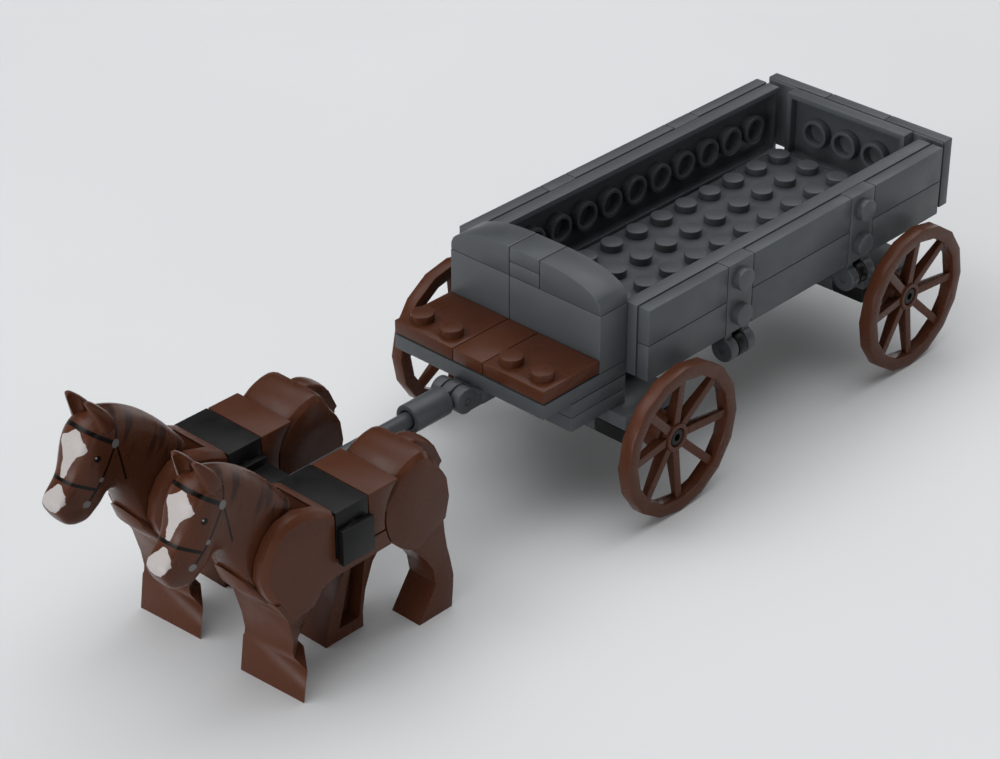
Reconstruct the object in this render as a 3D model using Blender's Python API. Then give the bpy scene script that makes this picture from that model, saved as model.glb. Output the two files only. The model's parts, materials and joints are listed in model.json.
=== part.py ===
"""Brick-built toy wagon with a pair of horses hitched to its pole.

All sizes are in millimetres and are turned into metres as each mesh is made.
+X points forward to the horses, +Y to the wagon's left, +Z up, and the ground is z = 0.
"""
import math

import bmesh
import bpy
from mathutils import Matrix, Vector

MM = 0.001

# Brick grid
PITCH = 8.0
PLATE = 3.2
BRICK = 3 * PLATE
STUD_RADIUS = 2.4
STUD_HEIGHT = 1.7
TUBE_RADIUS = 2.95
OPEN_TUBE_RADIUS = 3.25
TUBE_BORE = 2.7
PIN_RADIUS = 1.3
WALL = 1.15
ROOF = 0.9
GROOVE_DEPTH = 0.5
GROOVE_HEIGHT = 0.5
JOINT_WIDTH = 0.24
JOINT_DEPTH = 0.35

# Clearances
GAP = 0.3
HALF_GAP = GAP / 2
SINK = 0.3

# Levels, counted from the underside of the bed
WHEEL_RADIUS = 16.5
BED_Z = 28.2
FRAME_Z = BED_Z - PLATE
KEEL_Z = BED_Z - 2 * PLATE
BEAM_Z = BED_Z - 3 * PLATE
HOLDER_Z = BED_Z - 4 * PLATE
SEAT_Z = BED_Z + PLATE

# Places along the wagon, counted forward from the rear end of the side boards
BOARD_STUDS = 12
BED_STUDS = 11
KEEL_STUDS = 12
SPINE_STUDS = 10
FRONT_STUDS = 5
BED_START = (BOARD_STUDS - BED_STUDS) * PITCH / 2
FRAME_START = 2 * PITCH
DASH_X = BOARD_STUDS * PITCH
SEAT_X = DASH_X + PITCH
FRONT_AXLE = 92.6
REAR_AXLE = 15.8
CURVE_LOW = 1.5

# Side boards and tailgate
BOARD_HEIGHT = 2 * PITCH
BOARD_INNER = 18.9
BOARD_MIDDLE_Z = BED_Z + HALF_GAP + BOARD_HEIGHT / 2
BOARD_PANELS = (("rear", 0, 3), ("middle", 4, 4), ("front", 9, 3))
BOARD_STRAPS = (("rear", 3), ("front", 8))
STRAP_XS = {end: (stud + 0.5) * PITCH for end, stud in BOARD_STRAPS}
HINGE_RADIUS = 2.7
HINGE_DROP = 3.4
HINGE_OUT = 5.4
FINGER_SLOT = 3.0
FINGER = FINGER_SLOT - 2 * GAP
EASE = 0.1
BOSS_RADIUS = 1.0
BOSS_LENGTH = 0.8
TAILGATE_INNER = 1.1

# Wheels
HOLDER_OUTER_Y = 3 * PITCH
HUB_INNER_Y = HOLDER_OUTER_Y + 2 * GAP
WHEEL_OUTER_Y = 32.3
RIM_WIDTH = 2.9
RIM_INNER = 13.6
HUB_RADIUS = 3.0
HUB_INSET = 1.5
HUB_OUTER_Y = WHEEL_OUTER_Y - HUB_INSET
PIN_SHAFT = 1.4
PIN_LIP = 1.75
PIN_BORE = 0.8
PIN_DEPTH = 3.0
PIN_BOSS = 2.0
LIP_LENGTH = 0.7
LIP_INSET = 0.2
BORE = PIN_SHAFT + GAP
SPOKES = 8
SPOKE_HALF_WIDTH = 0.95
SPOKE_INSET = 0.6
SPOKE_HUB_DEPTH = 2.6
SPOKE_RIM_DEPTH = 1.5

# Pole
POLE_X = 124.0
POLE_Z = BED_Z - 0.65
POLE_BARREL_RADIUS = 3.0
POLE_BARREL_END = 136.6
POLE_BAR_RADIUS = 1.6
POLE_BAR_START = 131.0
POLE_BAR_END = 177.0
YOKE_LENGTH = 7.4
YOKE_HALF_HEIGHT = 3.2
PAD_DEPTH = 1.65

# Horses
HORSE_Y = 14.0
HORSE_HALF_WIDTH = 7.45
HAUNCH_X = 153.4
HAUNCH_Z = 27.4
HAUNCH_RADIUS = 10.0
HAUNCH_TURN = 40.0
BACK_ROUND = 2.6
SOCKET_SIDES = 36
SADDLE_START = 167.7
SADDLE_LENGTH = 8.2
SADDLE_TOP = 35.2
PAD_LOW = 24.6
PAD_HEIGHT = 7.3
NOTCH_FLOOR = 25.6
NECK_HALF_WIDTH = 4.1
NECK_SIDES = 16
TONGUE_HALF_WIDTH = 2.0
KNOB_RADIUS = 3.4
BOSS_REACH = 1.6

# The whole part is centred on its own length
REAR_END = TAILGATE_INNER - HINGE_OUT - HINGE_RADIUS
NOSE_END = 212.1
MIDDLE_X = (REAR_END + NOSE_END) / 2

# Facets round each kind of round piece
ROUND = 16
STUD_SIDES = 8

# Plastics
GRAY = (0.13, 0.14, 0.15)
BROWN = (0.16, 0.045, 0.022)
BLACK = (0.02, 0.02, 0.02)
ROUGHNESS = 0.35

X_AXIS = Vector((1, 0, 0))
Y_AXIS = Vector((0, 1, 0))
Z_AXIS = Vector((0, 0, 1))
SIDES = ((1, "left"), (-1, "right"))


def clear_scene():
    for old in list(bpy.data.objects):
        bpy.data.objects.remove(old, do_unlink=True)


def make_plastic(name, color):
    material = bpy.data.materials.new(name)
    material.use_nodes = True
    shader = material.node_tree.nodes["Principled BSDF"]
    shader.inputs["Base Color"].default_value = (*color, 1.0)
    shader.inputs["Roughness"].default_value = ROUGHNESS
    shader.inputs["Metallic"].default_value = 0.0
    return material


# Shells: every function adds one closed shell to a bmesh, in millimetres


def add_rings(bm, rings, closed=False):
    """Joins rings of points into one shell, capped at both ends unless it closes on itself."""
    loops = [[bm.verts.new(point) for point in ring] for ring in rings]
    pairs = list(zip(loops, loops[1:]))
    if closed:
        pairs.append((loops[-1], loops[0]))
    for low, high in pairs:
        for i in range(len(low)):
            j = (i + 1) % len(low)
            bm.faces.new((low[i], low[j], high[j], high[i]))
    if not closed:
        bm.faces.new(loops[0][::-1])
        bm.faces.new(loops[-1])


def add_box(bm, low, high):
    x0, y0, z0 = low
    x1, y1, z1 = high
    rings = [[(x0, y0, z), (x1, y0, z), (x1, y1, z), (x0, y1, z)] for z in (z0, z1)]
    add_rings(bm, rings)


def add_block(bm, length, width, steps, middle=(0.0, 0.0)):
    """A block about a middle point whose outline steps in or out at each (inset, height)."""
    a, b = middle
    rings = []
    for inset, height in steps:
        u = length / 2 - inset
        v = width / 2 - inset
        corners = ((-u, -v), (u, -v), (u, v), (-u, v))
        rings.append([(a + p, b + q, height) for p, q in corners])
    add_rings(bm, rings)


def circle(center, radius, axis, sides):
    """Points around an axis through the center."""
    first = Z_AXIS if abs(axis.z) < 0.5 else X_AXIS
    second = axis.cross(first)
    points = []
    for k in range(sides):
        angle = math.tau * k / sides
        points.append(Vector(center) + radius * (math.cos(angle) * first + math.sin(angle) * second))
    return points


def add_turned(bm, profile, center, axis, sides=ROUND, hollow=False):
    """A solid or a ring turned from a profile of (radius, distance along the axis)."""
    rings = [circle(Vector(center) + axis * along, radius, axis, sides) for radius, along in profile]
    add_rings(bm, rings, closed=hollow)


def add_rod(bm, start, end, radius, sides=ROUND):
    axis = Vector(end) - Vector(start)
    add_turned(bm, [(radius, 0), (radius, axis.length)], start, axis.normalized(), sides)


def add_tube(bm, center, radius, bore, length, sides=STUD_SIDES):
    profile = [(bore, 0), (radius, 0), (radius, length), (bore, length)]
    add_turned(bm, profile, center, Z_AXIS, sides, hollow=True)


def add_slab(bm, outline, low, high):
    """An upright slab: an outline of (x, z) points carried from y = low to y = high."""
    rings = [[(x, y, z) for x, z in outline] for y in (low, high)]
    add_rings(bm, rings)


# Solids: meshes are joined and cut with exact booleans


def to_object(name, bm):
    bmesh.ops.recalc_face_normals(bm, faces=bm.faces)
    mesh = bpy.data.meshes.new(name)
    bm.to_mesh(mesh)
    bm.free()
    item = bpy.data.objects.new(name, mesh)
    bpy.context.collection.objects.link(item)
    return item


def shaped(name, build):
    """An object made by a function that fills a bmesh."""
    bm = bmesh.new()
    build(bm)
    return to_object(name, bm)


def combine(item, other, operation):
    """Joins or cuts one object with another and removes the other."""
    modifier = item.modifiers.new("boolean", "BOOLEAN")
    modifier.operation = operation
    modifier.solver = "EXACT"
    modifier.object = other
    graph = bpy.context.evaluated_depsgraph_get()
    result = bpy.data.meshes.new_from_object(item.evaluated_get(graph))
    item.modifiers.remove(modifier)
    old = item.data
    item.data = result
    bpy.data.meshes.remove(old)
    bpy.data.objects.remove(other, do_unlink=True)
    return item


def join(item, build):
    return combine(item, shaped("joined", build), "UNION")


def cut(item, build):
    return combine(item, shaped("cutter", build), "DIFFERENCE")


class Place:
    """Where a local brick frame sits: its origin and its three directions."""

    def __init__(self, origin, along=X_AXIS, up=Z_AXIS):
        self.matrix = Matrix.Translation(Vector(origin))
        across = up.cross(along)
        for column, direction in enumerate((along, across, up)):
            for row in range(3):
                self.matrix[row][column] = direction[row]


def finish(item, name, color, pivot, place=None, smooth_angle=35.0):
    """Moves the mesh to its place, sets the object's origin and gives it its own plastic."""
    mesh = item.data
    if place is not None:
        mesh.transform(place.matrix)
    shift = Vector((MIDDLE_X, 0, 0))
    pivot = Vector(pivot)
    mesh.transform(Matrix.Scale(MM, 4) @ Matrix.Translation(-pivot))
    bm = bmesh.new()
    bm.from_mesh(mesh)
    bmesh.ops.remove_doubles(bm, verts=bm.verts, dist=0.000001)
    bmesh.ops.dissolve_degenerate(bm, edges=bm.edges, dist=0.000001)
    bmesh.ops.recalc_face_normals(bm, faces=bm.faces)
    bm.to_mesh(mesh)
    bm.free()
    mesh.materials.clear()
    mesh.materials.append(make_plastic(name, color))
    for polygon in mesh.polygons:
        polygon.use_smooth = True
    mesh.set_sharp_from_angle(angle=math.radians(smooth_angle))
    mesh.name = name
    item.name = name
    item.location = (pivot - shift) * MM
    return item


def attach(child, parent):
    child.parent = parent
    child.location = child.location - parent.location


# Bricks


def grid(nu, nv):
    """Stud places of a brick about its own middle."""
    return [((i - (nu - 1) / 2) * PITCH, (j - (nv - 1) / 2) * PITCH) for i in range(nu) for j in range(nv)]


def between(nu, nv):
    """Places between the studs, where tubes or pins stand."""
    across = nv - 1 if nv > 1 else 1
    along = nu - 1 if nu > 1 else 1
    return [
        ((i - (along - 1) / 2) * PITCH, (j - (across - 1) / 2) * PITCH)
        for i in range(along)
        for j in range(across)
    ]


def brick(name, nu, nv, height, studs=None, tubes=None, tube_radius=TUBE_RADIUS, hollow=True,
          grooved=False, raised=GAP):
    """A brick, plate or tile in its local frame, its underside at height zero."""
    length = nu * PITCH - GAP
    width = nv * PITCH - GAP
    steps = [(0.0, raised), (0.0, height)]
    margin = WALL
    if grooved:
        shoulder = raised + GROOVE_HEIGHT
        steps = [(GROOVE_DEPTH, raised), (GROOVE_DEPTH, shoulder), (0.0, shoulder), (0.0, height)]
        margin = WALL + GROOVE_DEPTH / 2
    item = shaped(name, lambda bm: add_block(bm, length, width, steps))
    if hollow:
        cavity = [(margin, raised - 1), (margin, height - ROOF)]
        cut(item, lambda bm: add_block(bm, length, width, cavity))
    places = grid(nu, nv) if studs is None else studs

    def caps(bm):
        for u, v in places:
            add_rod(bm, (u, v, height - SINK), (u, v, height + STUD_HEIGHT), STUD_RADIUS, STUD_SIDES)

    if places:
        join(item, caps)
    posts = between(nu, nv) if tubes is None else tubes
    if not hollow or nu * nv == 1:
        posts = []
    top = height - ROOF + SINK

    def props(bm):
        for u, v in posts:
            if min(nu, nv) > 1:
                add_tube(bm, (u, v, raised), tube_radius, TUBE_BORE, top - raised)
            else:
                add_rod(bm, (u, v, raised), (u, v, top), PIN_RADIUS, STUD_SIDES)

    if posts:
        join(item, props)
    return item


# Finger hinges: the barrel axis runs across the local frame, at (u, w)


def add_finger(bm, u, w, low, high):
    add_rod(bm, (u, low, w), (u, high, w), HINGE_RADIUS)


def add_arm(item, u, low, high, start):
    """The flat arm from a plate out to its finger."""
    arm_low = (start - SINK - HALF_GAP, low + EASE, GAP)
    arm_high = (u, high - EASE, PLATE - GAP - EASE)
    join(item, lambda bm: add_box(bm, arm_low, arm_high))


def add_boss(item, u, w):
    """A small round boss on each side of a middle finger."""
    reach = FINGER / 2 + BOSS_LENGTH
    join(item, lambda bm: add_rod(bm, (u, -reach, w), (u, reach, w), BOSS_RADIUS, STUD_SIDES))


def add_single_finger(item, u, w):
    half = FINGER / 2
    join(item, lambda bm: add_finger(bm, u, w, -half, half))
    add_arm(item, u, -half, half, PITCH)
    add_boss(item, u, w)


def add_double_finger(item, u, w, start):
    """Two outer fingers, each with a dimple for the boss between them."""
    for side in (1, -1):
        low, high = sorted((side * FINGER_SLOT / 2, side * (PITCH / 2 - HALF_GAP)))
        join(item, lambda bm: add_finger(bm, u, w, low, high))
        add_arm(item, u, low, high, start)
    reach = FINGER / 2 + BOSS_LENGTH + GAP
    cut(item, lambda bm: add_rod(bm, (u, -reach, w), (u, reach, w), BOSS_RADIUS + GAP, STUD_SIDES))


# Chassis and bed


def build_bed():
    x = BED_START + BED_STUDS * PITCH / 2
    floor = brick("bed_floor", BED_STUDS, 4, PLATE, tubes=[], raised=0.0)
    return finish(floor, "bed_floor", GRAY, (x, 0, BED_Z), Place((x, 0, BED_Z)))


def build_frame():
    """The two courses under the bed: a broad keel plate and the narrow spine on it."""
    x = KEEL_STUDS * PITCH / 2
    studs = grid(KEEL_STUDS, 1) + [(u - x, side * PITCH) for u in STRAP_XS.values() for side in (1, -1)]
    tubes = [(u, v) for u, v in between(KEEL_STUDS, 3) if -4 * PITCH <= u <= 4 * PITCH]
    keel = brick("keel_plate", KEEL_STUDS, 3, PLATE, studs=studs, tubes=tubes)
    finish(keel, "keel_plate", BLACK, (x, 0, KEEL_Z), Place((x, 0, KEEL_Z)))
    x = FRAME_START + SPINE_STUDS * PITCH / 2
    studs = grid(SPINE_STUDS, 1)[:-1]
    spine = brick("spine_plate", SPINE_STUDS, 1, PLATE - GAP, studs=studs, tubes=[])
    finish(spine, "spine_plate", BLACK, (x, 0, FRAME_Z), Place((x, 0, FRAME_Z)))


def build_hinge_base(name, end, direction, reach):
    """A plate under the bed, from its inner end outwards, with a finger that carries a board."""
    base = brick(name, 2, 1, PLATE - GAP, studs=[(-PITCH / 2, 0.0)], tubes=[])
    middle = Vector(end) + direction * PITCH
    add_single_finger(base, reach - PITCH, PLATE - HINGE_DROP)
    place = Place((middle.x, middle.y, FRAME_Z), along=direction)
    return finish(base, name, BLACK, (middle.x, middle.y, FRAME_Z), place)


def build_hinge_bases():
    for end, x in STRAP_XS.items():
        for side, label in SIDES:
            start = (x, side * PITCH / 2, 0)
            reach = BOARD_INNER + HINGE_OUT - PITCH / 2
            build_hinge_base("%s_hinge_base_%s" % (label, end), start, Y_AXIS * side, reach)
    reach = FRAME_START + HINGE_OUT - TAILGATE_INNER
    build_hinge_base("tail_hinge_base", (FRAME_START, 0, 0), -X_AXIS, reach)


def build_axle_beam(end, x):
    """A cross beam of two courses; the upper one reaches out over the wheel holders."""
    name = end + "_axle_beam"
    length = 2 * PITCH - GAP
    core_half = HOLDER_OUTER_Y - PITCH
    beam = shaped(name, lambda bm: add_block(bm, length, 2 * HOLDER_OUTER_Y - GAP, [(0, GAP), (0, PLATE)]))
    core = [(JOINT_WIDTH, -PLATE), (JOINT_WIDTH, GAP + SINK)]
    join(beam, lambda bm: add_block(bm, length, 2 * core_half - GAP, core))
    room = [(WALL, 0), (WALL, PLATE - ROOF)]
    for side in (1, -1):
        middle = (0.0, side * (HOLDER_OUTER_Y - PITCH / 2))
        cut(beam, lambda bm: add_block(bm, length, PITCH - GAP, room, middle))
    row = PITCH * math.floor(x / PITCH)
    row += PITCH * (x - row > PITCH * 0.7)
    studs = [(row - x, side * PITCH / 2) for side in (1, -1)]

    def caps(bm):
        for u, v in studs:
            add_rod(bm, (u, v, PLATE - SINK), (u, v, PLATE + STUD_HEIGHT), STUD_RADIUS, STUD_SIDES)

    join(beam, caps)
    finish(beam, name, GRAY, (x, 0, BEAM_Z), Place((x, 0, BEAM_Z)))


def build_wheel_holder(name, x, side):
    """A small plate with the pin that its wheel turns on."""
    middle = HOLDER_OUTER_Y - PITCH / 2
    holder = brick(name, 2, 1, PLATE, hollow=False, raised=0.0)
    axle = (0, 0, WHEEL_RADIUS - HOLDER_Z)
    face = PITCH / 2 - HALF_GAP
    lip_end = HUB_OUTER_Y - middle - LIP_INSET
    lip_start = lip_end - LIP_LENGTH
    profile = [
        (PIN_BOSS, face - 3), (PIN_BOSS, face + 0.3), (PIN_SHAFT, face + 0.3),
        (PIN_SHAFT, lip_start), (PIN_LIP, lip_start), (PIN_LIP, lip_end),
    ]
    join(holder, lambda bm: add_turned(bm, profile, axle, Y_AXIS, 12))
    mouth = (0, lip_end - PIN_DEPTH, axle[2])
    cut(holder, lambda bm: add_rod(bm, mouth, (0, lip_end + 1, axle[2]), PIN_BORE, STUD_SIDES))
    place = Place((x, side * middle, HOLDER_Z), along=X_AXIS * side)
    finish(holder, name, BLACK, (x, side * middle, HOLDER_Z), place)


def build_front_block():
    """The two courses that carry the driver's platform, with room for the pole hinge."""
    length = 2 * PITCH - GAP
    width = FRONT_STUDS * PITCH - GAP
    middle = DASH_X + PITCH
    height = 2 * PLATE - GAP
    steps = [
        (0, GAP), (0, PLATE), (JOINT_DEPTH, PLATE), (JOINT_DEPTH, PLATE + JOINT_WIDTH),
        (0, PLATE + JOINT_WIDTH), (0, height),
    ]
    block = shaped("front_block", lambda bm: add_block(bm, length, width, steps))
    slot = PITCH / 2 + HALF_GAP
    cut(block, lambda bm: add_box(bm, (-HALF_GAP, -slot, PLATE), (2 * PITCH, slot, 3 * PLATE)))
    room = [(WALL, 0), (WALL, PLATE - ROOF)]
    cut(block, lambda bm: add_block(bm, length, width, room))
    studs = [(u, v) for u, v in grid(2, FRONT_STUDS) if v or u < 0]

    def caps(bm):
        for u, v in studs:
            add_rod(bm, (u, v, height - SINK), (u, v, height + STUD_HEIGHT), STUD_RADIUS, STUD_SIDES)

    join(block, caps)
    finish(block, "front_block", GRAY, (middle, 0, KEEL_Z), Place((middle, 0, KEEL_Z)))


# Driver's platform, seat and dashboard


def build_platform():
    x = DASH_X + 1.5 * PITCH
    base = brick("platform_plate", 3, FRONT_STUDS, PLATE, tubes=[], raised=0.0)
    finish(base, "platform_plate", GRAY, (x, 0, BED_Z), Place((x, 0, BED_Z)))
    x = SEAT_X + PITCH
    for side, label in SIDES:
        name = "seat_tile_" + label
        front_row = [(PITCH / 2, v) for v in (-PITCH / 2, PITCH / 2)]
        tile = brick(name, 2, 2, PLATE, studs=front_row, grooved=True)
        spot = (x, side * (FRONT_STUDS / 2 - 1) * PITCH, SEAT_Z)
        finish(tile, name, BROWN, spot, Place(spot))
    tile = brick("seat_tile_middle", 2, 1, PLATE, studs=[], grooved=True)
    finish(tile, "seat_tile_middle", BROWN, (x, 0, SEAT_Z), Place((x, 0, SEAT_Z)))


def build_dashboard():
    x = DASH_X + PITCH / 2
    height = BRICK + PLATE
    top = SEAT_Z + height
    right = FRONT_STUDS // 2
    for label, count, side in (("right", right, -1), ("left", FRONT_STUDS - right, 1)):
        spot = (x, side * (FRONT_STUDS - count) * PITCH / 2, SEAT_Z)
        wall = brick("dash_brick_" + label, count, 1, height, tubes=[])
        finish(wall, "dash_brick_" + label, GRAY, spot, Place(spot, along=Y_AXIS))
    for side, label in SIDES:
        build_curve("dash_curve_" + label, x, side, top)
    crown = brick("dash_crown", 1, 1, 2 * PLATE, studs=[])

    def ring(bm):
        outer = PITCH
        inner = (PITCH - GAP) / 2 - JOINT_DEPTH
        rings = []
        corners = ((inner, PLATE), (outer, PLATE), (outer, PLATE + JOINT_WIDTH), (inner, PLATE + JOINT_WIDTH))
        for half, height in corners:
            rings.append([(-half, -half, height), (half, -half, height), (half, half, height), (-half, half, height)])
        add_rings(bm, rings, closed=True)

    cut(crown, ring)
    finish(crown, "dash_crown", GRAY, (x, 0, top), Place((x, 0, top)))


def build_curve(name, x, side, top):
    """A curved slope two studs long, low at its outer end."""
    length = (FRONT_STUDS - 1) * PITCH / 2 - GAP
    rise = 2 * PLATE - CURVE_LOW
    outline = [(0.0, GAP), (length, GAP)]
    steps = 10
    for k in range(steps + 1):
        angle = math.pi / 2 * k / steps
        outline.append((length * math.cos(angle), CURVE_LOW + rise * math.sin(angle)))
    depth = (PITCH - GAP) / 2
    curve = shaped(name, lambda bm: add_slab(bm, outline, -depth, depth))

    def room(bm):
        add_box(bm, (WALL, WALL - depth, 0), (length - WALL, depth - WALL, GAP + STUD_HEIGHT))

    cut(curve, room)
    spot = (x, side * (PITCH / 2 + HALF_GAP), top)
    finish(curve, name, GRAY, spot, Place(spot, along=Y_AXIS * side))


# Side boards and tailgate


def build_strap(name, nu, nv, spot, up):
    """An upright plate with bare studs, and two hinge fingers on its lower end."""
    strap = brick(name, nu, nv, PLATE)
    reach = spot[2] - (BED_Z - HINGE_DROP)
    add_double_finger(strap, reach, HINGE_OUT - PLATE, nu * PITCH / 2)
    return finish(strap, name, GRAY, spot, Place(spot, along=-Z_AXIS, up=up))


def strap_studs():
    """The board's own studs that stand inside its two straps."""
    studs = []
    for x in STRAP_XS.values():
        u = x - BOARD_STUDS * PITCH / 2
        studs += [(u, -PITCH / 2), (u, PITCH / 2)]
    return studs


def build_side_board(side, label):
    """A board of plates and tiles standing on edge, hinged along its lower edge."""
    up = Y_AXIS * side
    x = BOARD_STUDS * PITCH / 2
    pivot = (x, side * (BOARD_INNER + HINGE_OUT), BED_Z - HINGE_DROP)
    name = label + "_board_plate"
    board = brick(name, BOARD_STUDS, 2, PLATE, studs=strap_studs(), tube_radius=OPEN_TUBE_RADIUS, raised=0.0)
    place = Place((x, side * BOARD_INNER, BOARD_MIDDLE_Z), up=up)
    finish(board, name, GRAY, pivot, place)
    outer = side * (BOARD_INNER + PLATE)
    for part, first, count in BOARD_PANELS:
        name = "%s_board_panel_%s" % (label, part)
        panel = brick(name, count, 2, PLATE, studs=[], hollow=False, grooved=True)
        joint = [(0, PLATE - JOINT_DEPTH), (0, PLATE + 1)]
        cut(panel, lambda bm: add_block(bm, 2 * count * PITCH, JOINT_WIDTH, joint))
        spot = ((first + count / 2) * PITCH, outer, BOARD_MIDDLE_Z)
        attach(finish(panel, name, GRAY, spot, Place(spot, up=up)), board)
    for part, x in STRAP_XS.items():
        spot = (x, outer, BOARD_MIDDLE_Z)
        attach(build_strap("%s_board_strap_%s" % (label, part), 2, 1, spot, up), board)


def build_tailgate():
    back = -X_AXIS
    pivot = (TAILGATE_INNER - HINGE_OUT, 0, BED_Z - HINGE_DROP)
    studs = [(-PITCH / 2, v) for v in (-PITCH / 2, PITCH / 2)]
    gate = brick("tailgate_plate", 2, 4, PLATE, studs=studs, tube_radius=OPEN_TUBE_RADIUS, raised=0.0)
    place = Place((TAILGATE_INNER, 0, BOARD_MIDDLE_Z), along=Z_AXIS, up=back)
    finish(gate, "tailgate_plate", GRAY, pivot, place)
    outer = TAILGATE_INNER - PLATE
    tiles = [("left", 2, 2 * PITCH, 0), ("right", 2, -2 * PITCH, 0), ("middle", 1, 0, PITCH / 2)]
    for part, rows, y, lift in tiles:
        name = "tailgate_tile_" + part
        tile = brick(name, rows, 2, PLATE, studs=[], hollow=False, grooved=True)
        spot = (outer, y, BOARD_MIDDLE_Z + lift)
        attach(finish(tile, name, GRAY, spot, Place(spot, along=Z_AXIS, up=back)), gate)
    spot = (outer, 0, BOARD_MIDDLE_Z - PITCH / 2)
    attach(build_strap("tailgate_strap", 1, 2, spot, back), gate)


# Wheels


def build_wheel(name, x, side):
    """A spoked wheel whose local z axis is its axle, pointing outwards."""
    rim_in = WHEEL_OUTER_Y - RIM_WIDTH
    rim = [
        (RIM_INNER, rim_in), (WHEEL_RADIUS, rim_in),
        (WHEEL_RADIUS, WHEEL_OUTER_Y), (RIM_INNER, WHEEL_OUTER_Y),
    ]
    cap = HUB_OUTER_Y - LIP_LENGTH - LIP_INSET - GAP
    hub = [
        (BORE, HUB_INNER_Y), (HUB_RADIUS, HUB_INNER_Y), (HUB_RADIUS, HUB_OUTER_Y),
        (PIN_LIP + GAP, HUB_OUTER_Y), (PIN_LIP + GAP, cap), (BORE, cap),
    ]
    wheel = shaped(name, lambda bm: add_turned(bm, rim, (0, 0, 0), Z_AXIS, hollow=True))

    def spokes(bm):
        for k in range(SPOKES):
            add_spoke(bm, math.tau * k / SPOKES)

    join(wheel, spokes)
    join(wheel, lambda bm: add_turned(bm, hub, (0, 0, 0), Z_AXIS, 12, hollow=True))
    place = Place((x, 0, WHEEL_RADIUS), up=Y_AXIS * side)
    finish(wheel, name, BROWN, (x, side * (WHEEL_OUTER_Y - RIM_WIDTH / 2), WHEEL_RADIUS), place)


def add_spoke(bm, angle):
    """A ridged spoke, deep at the hub and shallow at the rim."""
    high = WHEEL_OUTER_Y - SPOKE_INSET
    hub_high = HUB_OUTER_Y - GAP
    sections = (
        (HUB_RADIUS - SINK, SPOKE_HALF_WIDTH, hub_high - SPOKE_HUB_DEPTH, hub_high),
        (RIM_INNER + 2 * SINK, SPOKE_HALF_WIDTH, high - SPOKE_RIM_DEPTH, high),
    )
    out = Vector((math.cos(angle), math.sin(angle), 0))
    across = Vector((-math.sin(angle), math.cos(angle), 0))
    rings = []
    for radius, half, low, high in sections:
        corners = ((-half, high), (-half * 0.35, low), (half * 0.35, low), (half, high))
        rings.append([out * radius + across * off + Z_AXIS * height for off, height in corners])
    add_rings(bm, rings)


# Pole


def build_pole():
    """A hinged pole: its base under the platform, a knuckle, a bar and the yoke."""
    spot = (SEAT_X + PITCH, 0, FRAME_Z)
    base = brick("pole_hinge_base", 2, 1, PLATE - GAP, tubes=[])
    add_double_finger(base, POLE_X - spot[0], POLE_Z - FRAME_Z, PITCH)
    finish(base, "pole_hinge_base", GRAY, spot, Place(spot))

    half = FINGER / 2
    pivot = (POLE_X, 0, POLE_Z)
    barrel_start = HINGE_RADIUS + GAP
    barrel_end = POLE_BARREL_END - POLE_X
    bore_start = POLE_BAR_START - POLE_X - GAP
    bar_length = POLE_BAR_END - POLE_BAR_START
    knuckle = shaped("pole_knuckle", lambda bm: add_finger(bm, 0, 0, -half, half))
    join(knuckle, lambda bm: add_box(bm, (0, -half + EASE, -2.2), (barrel_start + 1, half - EASE, 2.2)))
    add_boss(knuckle, 0, 0)
    join(knuckle, lambda bm: add_rod(bm, (barrel_start, 0, 0), (barrel_end, 0, 0), POLE_BARREL_RADIUS))
    cut(knuckle, lambda bm: add_rod(bm, (bore_start, 0, 0), (barrel_end + 1, 0, 0), POLE_BAR_RADIUS + GAP, 16))
    knuckle = finish(knuckle, "pole_knuckle", GRAY, pivot, Place(pivot))

    start = (POLE_BAR_START, 0, POLE_Z)
    bar = shaped("pole_bar", lambda bm: add_rod(bm, (0, 0, 0), (bar_length, 0, 0), POLE_BAR_RADIUS, 16))
    attach(finish(bar, "pole_bar", BLACK, start, Place(start)), knuckle)

    width = 2 * (HORSE_Y - HORSE_HALF_WIDTH - PAD_DEPTH - GAP)
    height = YOKE_HALF_HEIGHT
    start = (SADDLE_START + SADDLE_LENGTH / 2, 0, POLE_Z)
    yoke = shaped("pole_yoke", lambda bm: add_block(bm, YOKE_LENGTH, width, [(0, -height), (0, height)]))
    reach = YOKE_LENGTH
    cut(yoke, lambda bm: add_rod(bm, (-reach, 0, 0), (reach, 0, 0), POLE_BAR_RADIUS + GAP, 16))
    attach(finish(yoke, "pole_yoke", BLACK, start, Place(start)), knuckle)
    return knuckle


# Horses: outlines are (x, z) points seen from the left side


BODY_OUTLINE = (
    (152.0, SADDLE_TOP), (176.0, SADDLE_TOP + 0.4), (179.0, 37.0), (183.5, 38.4), (187.5, 37.9),
    (190.4, 35.8), (192.4, 32.4), (193.0, 28.6), (191.8, 25.2), (189.9, 22.2), (188.4, 19.6),
    (187.0, 17.4), (184.0, 17.2), (180.5, 19.5), (176.0, 20.9), (152.0, 21.2),
)
NECK_SLOT = ((178.4, 36.2), (188.2, 21.4), (199.0, 21.4), (199.0, 60.0), (178.4, 60.0))
BREAST_FOOT = (189.0, 19.6)
BREAST_MIDDLE = (194.7, 26.2)
BREAST_TOP = (196.2, 30.6)
BREAST_THICKNESS = 0.9
BREAST_SWEEP = 1.5
FRONT_LEG_LEVELS = (
    (22.5, 178.0, 190.2, 7.3, 7.3), (17.5, 180.5, 187.4, 7.3, 6.4), (12.3, 181.4, 185.6, 7.2, 5.0),
    (9.0, 181.0, 184.2, 7.2, 4.6), (7.7, 180.6, 184.4, 7.2, 4.4), (7.0, 178.6, 184.8, 7.45, 3.2),
    (0.0, 178.6, 186.7, 7.45, 3.2),
)
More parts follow.
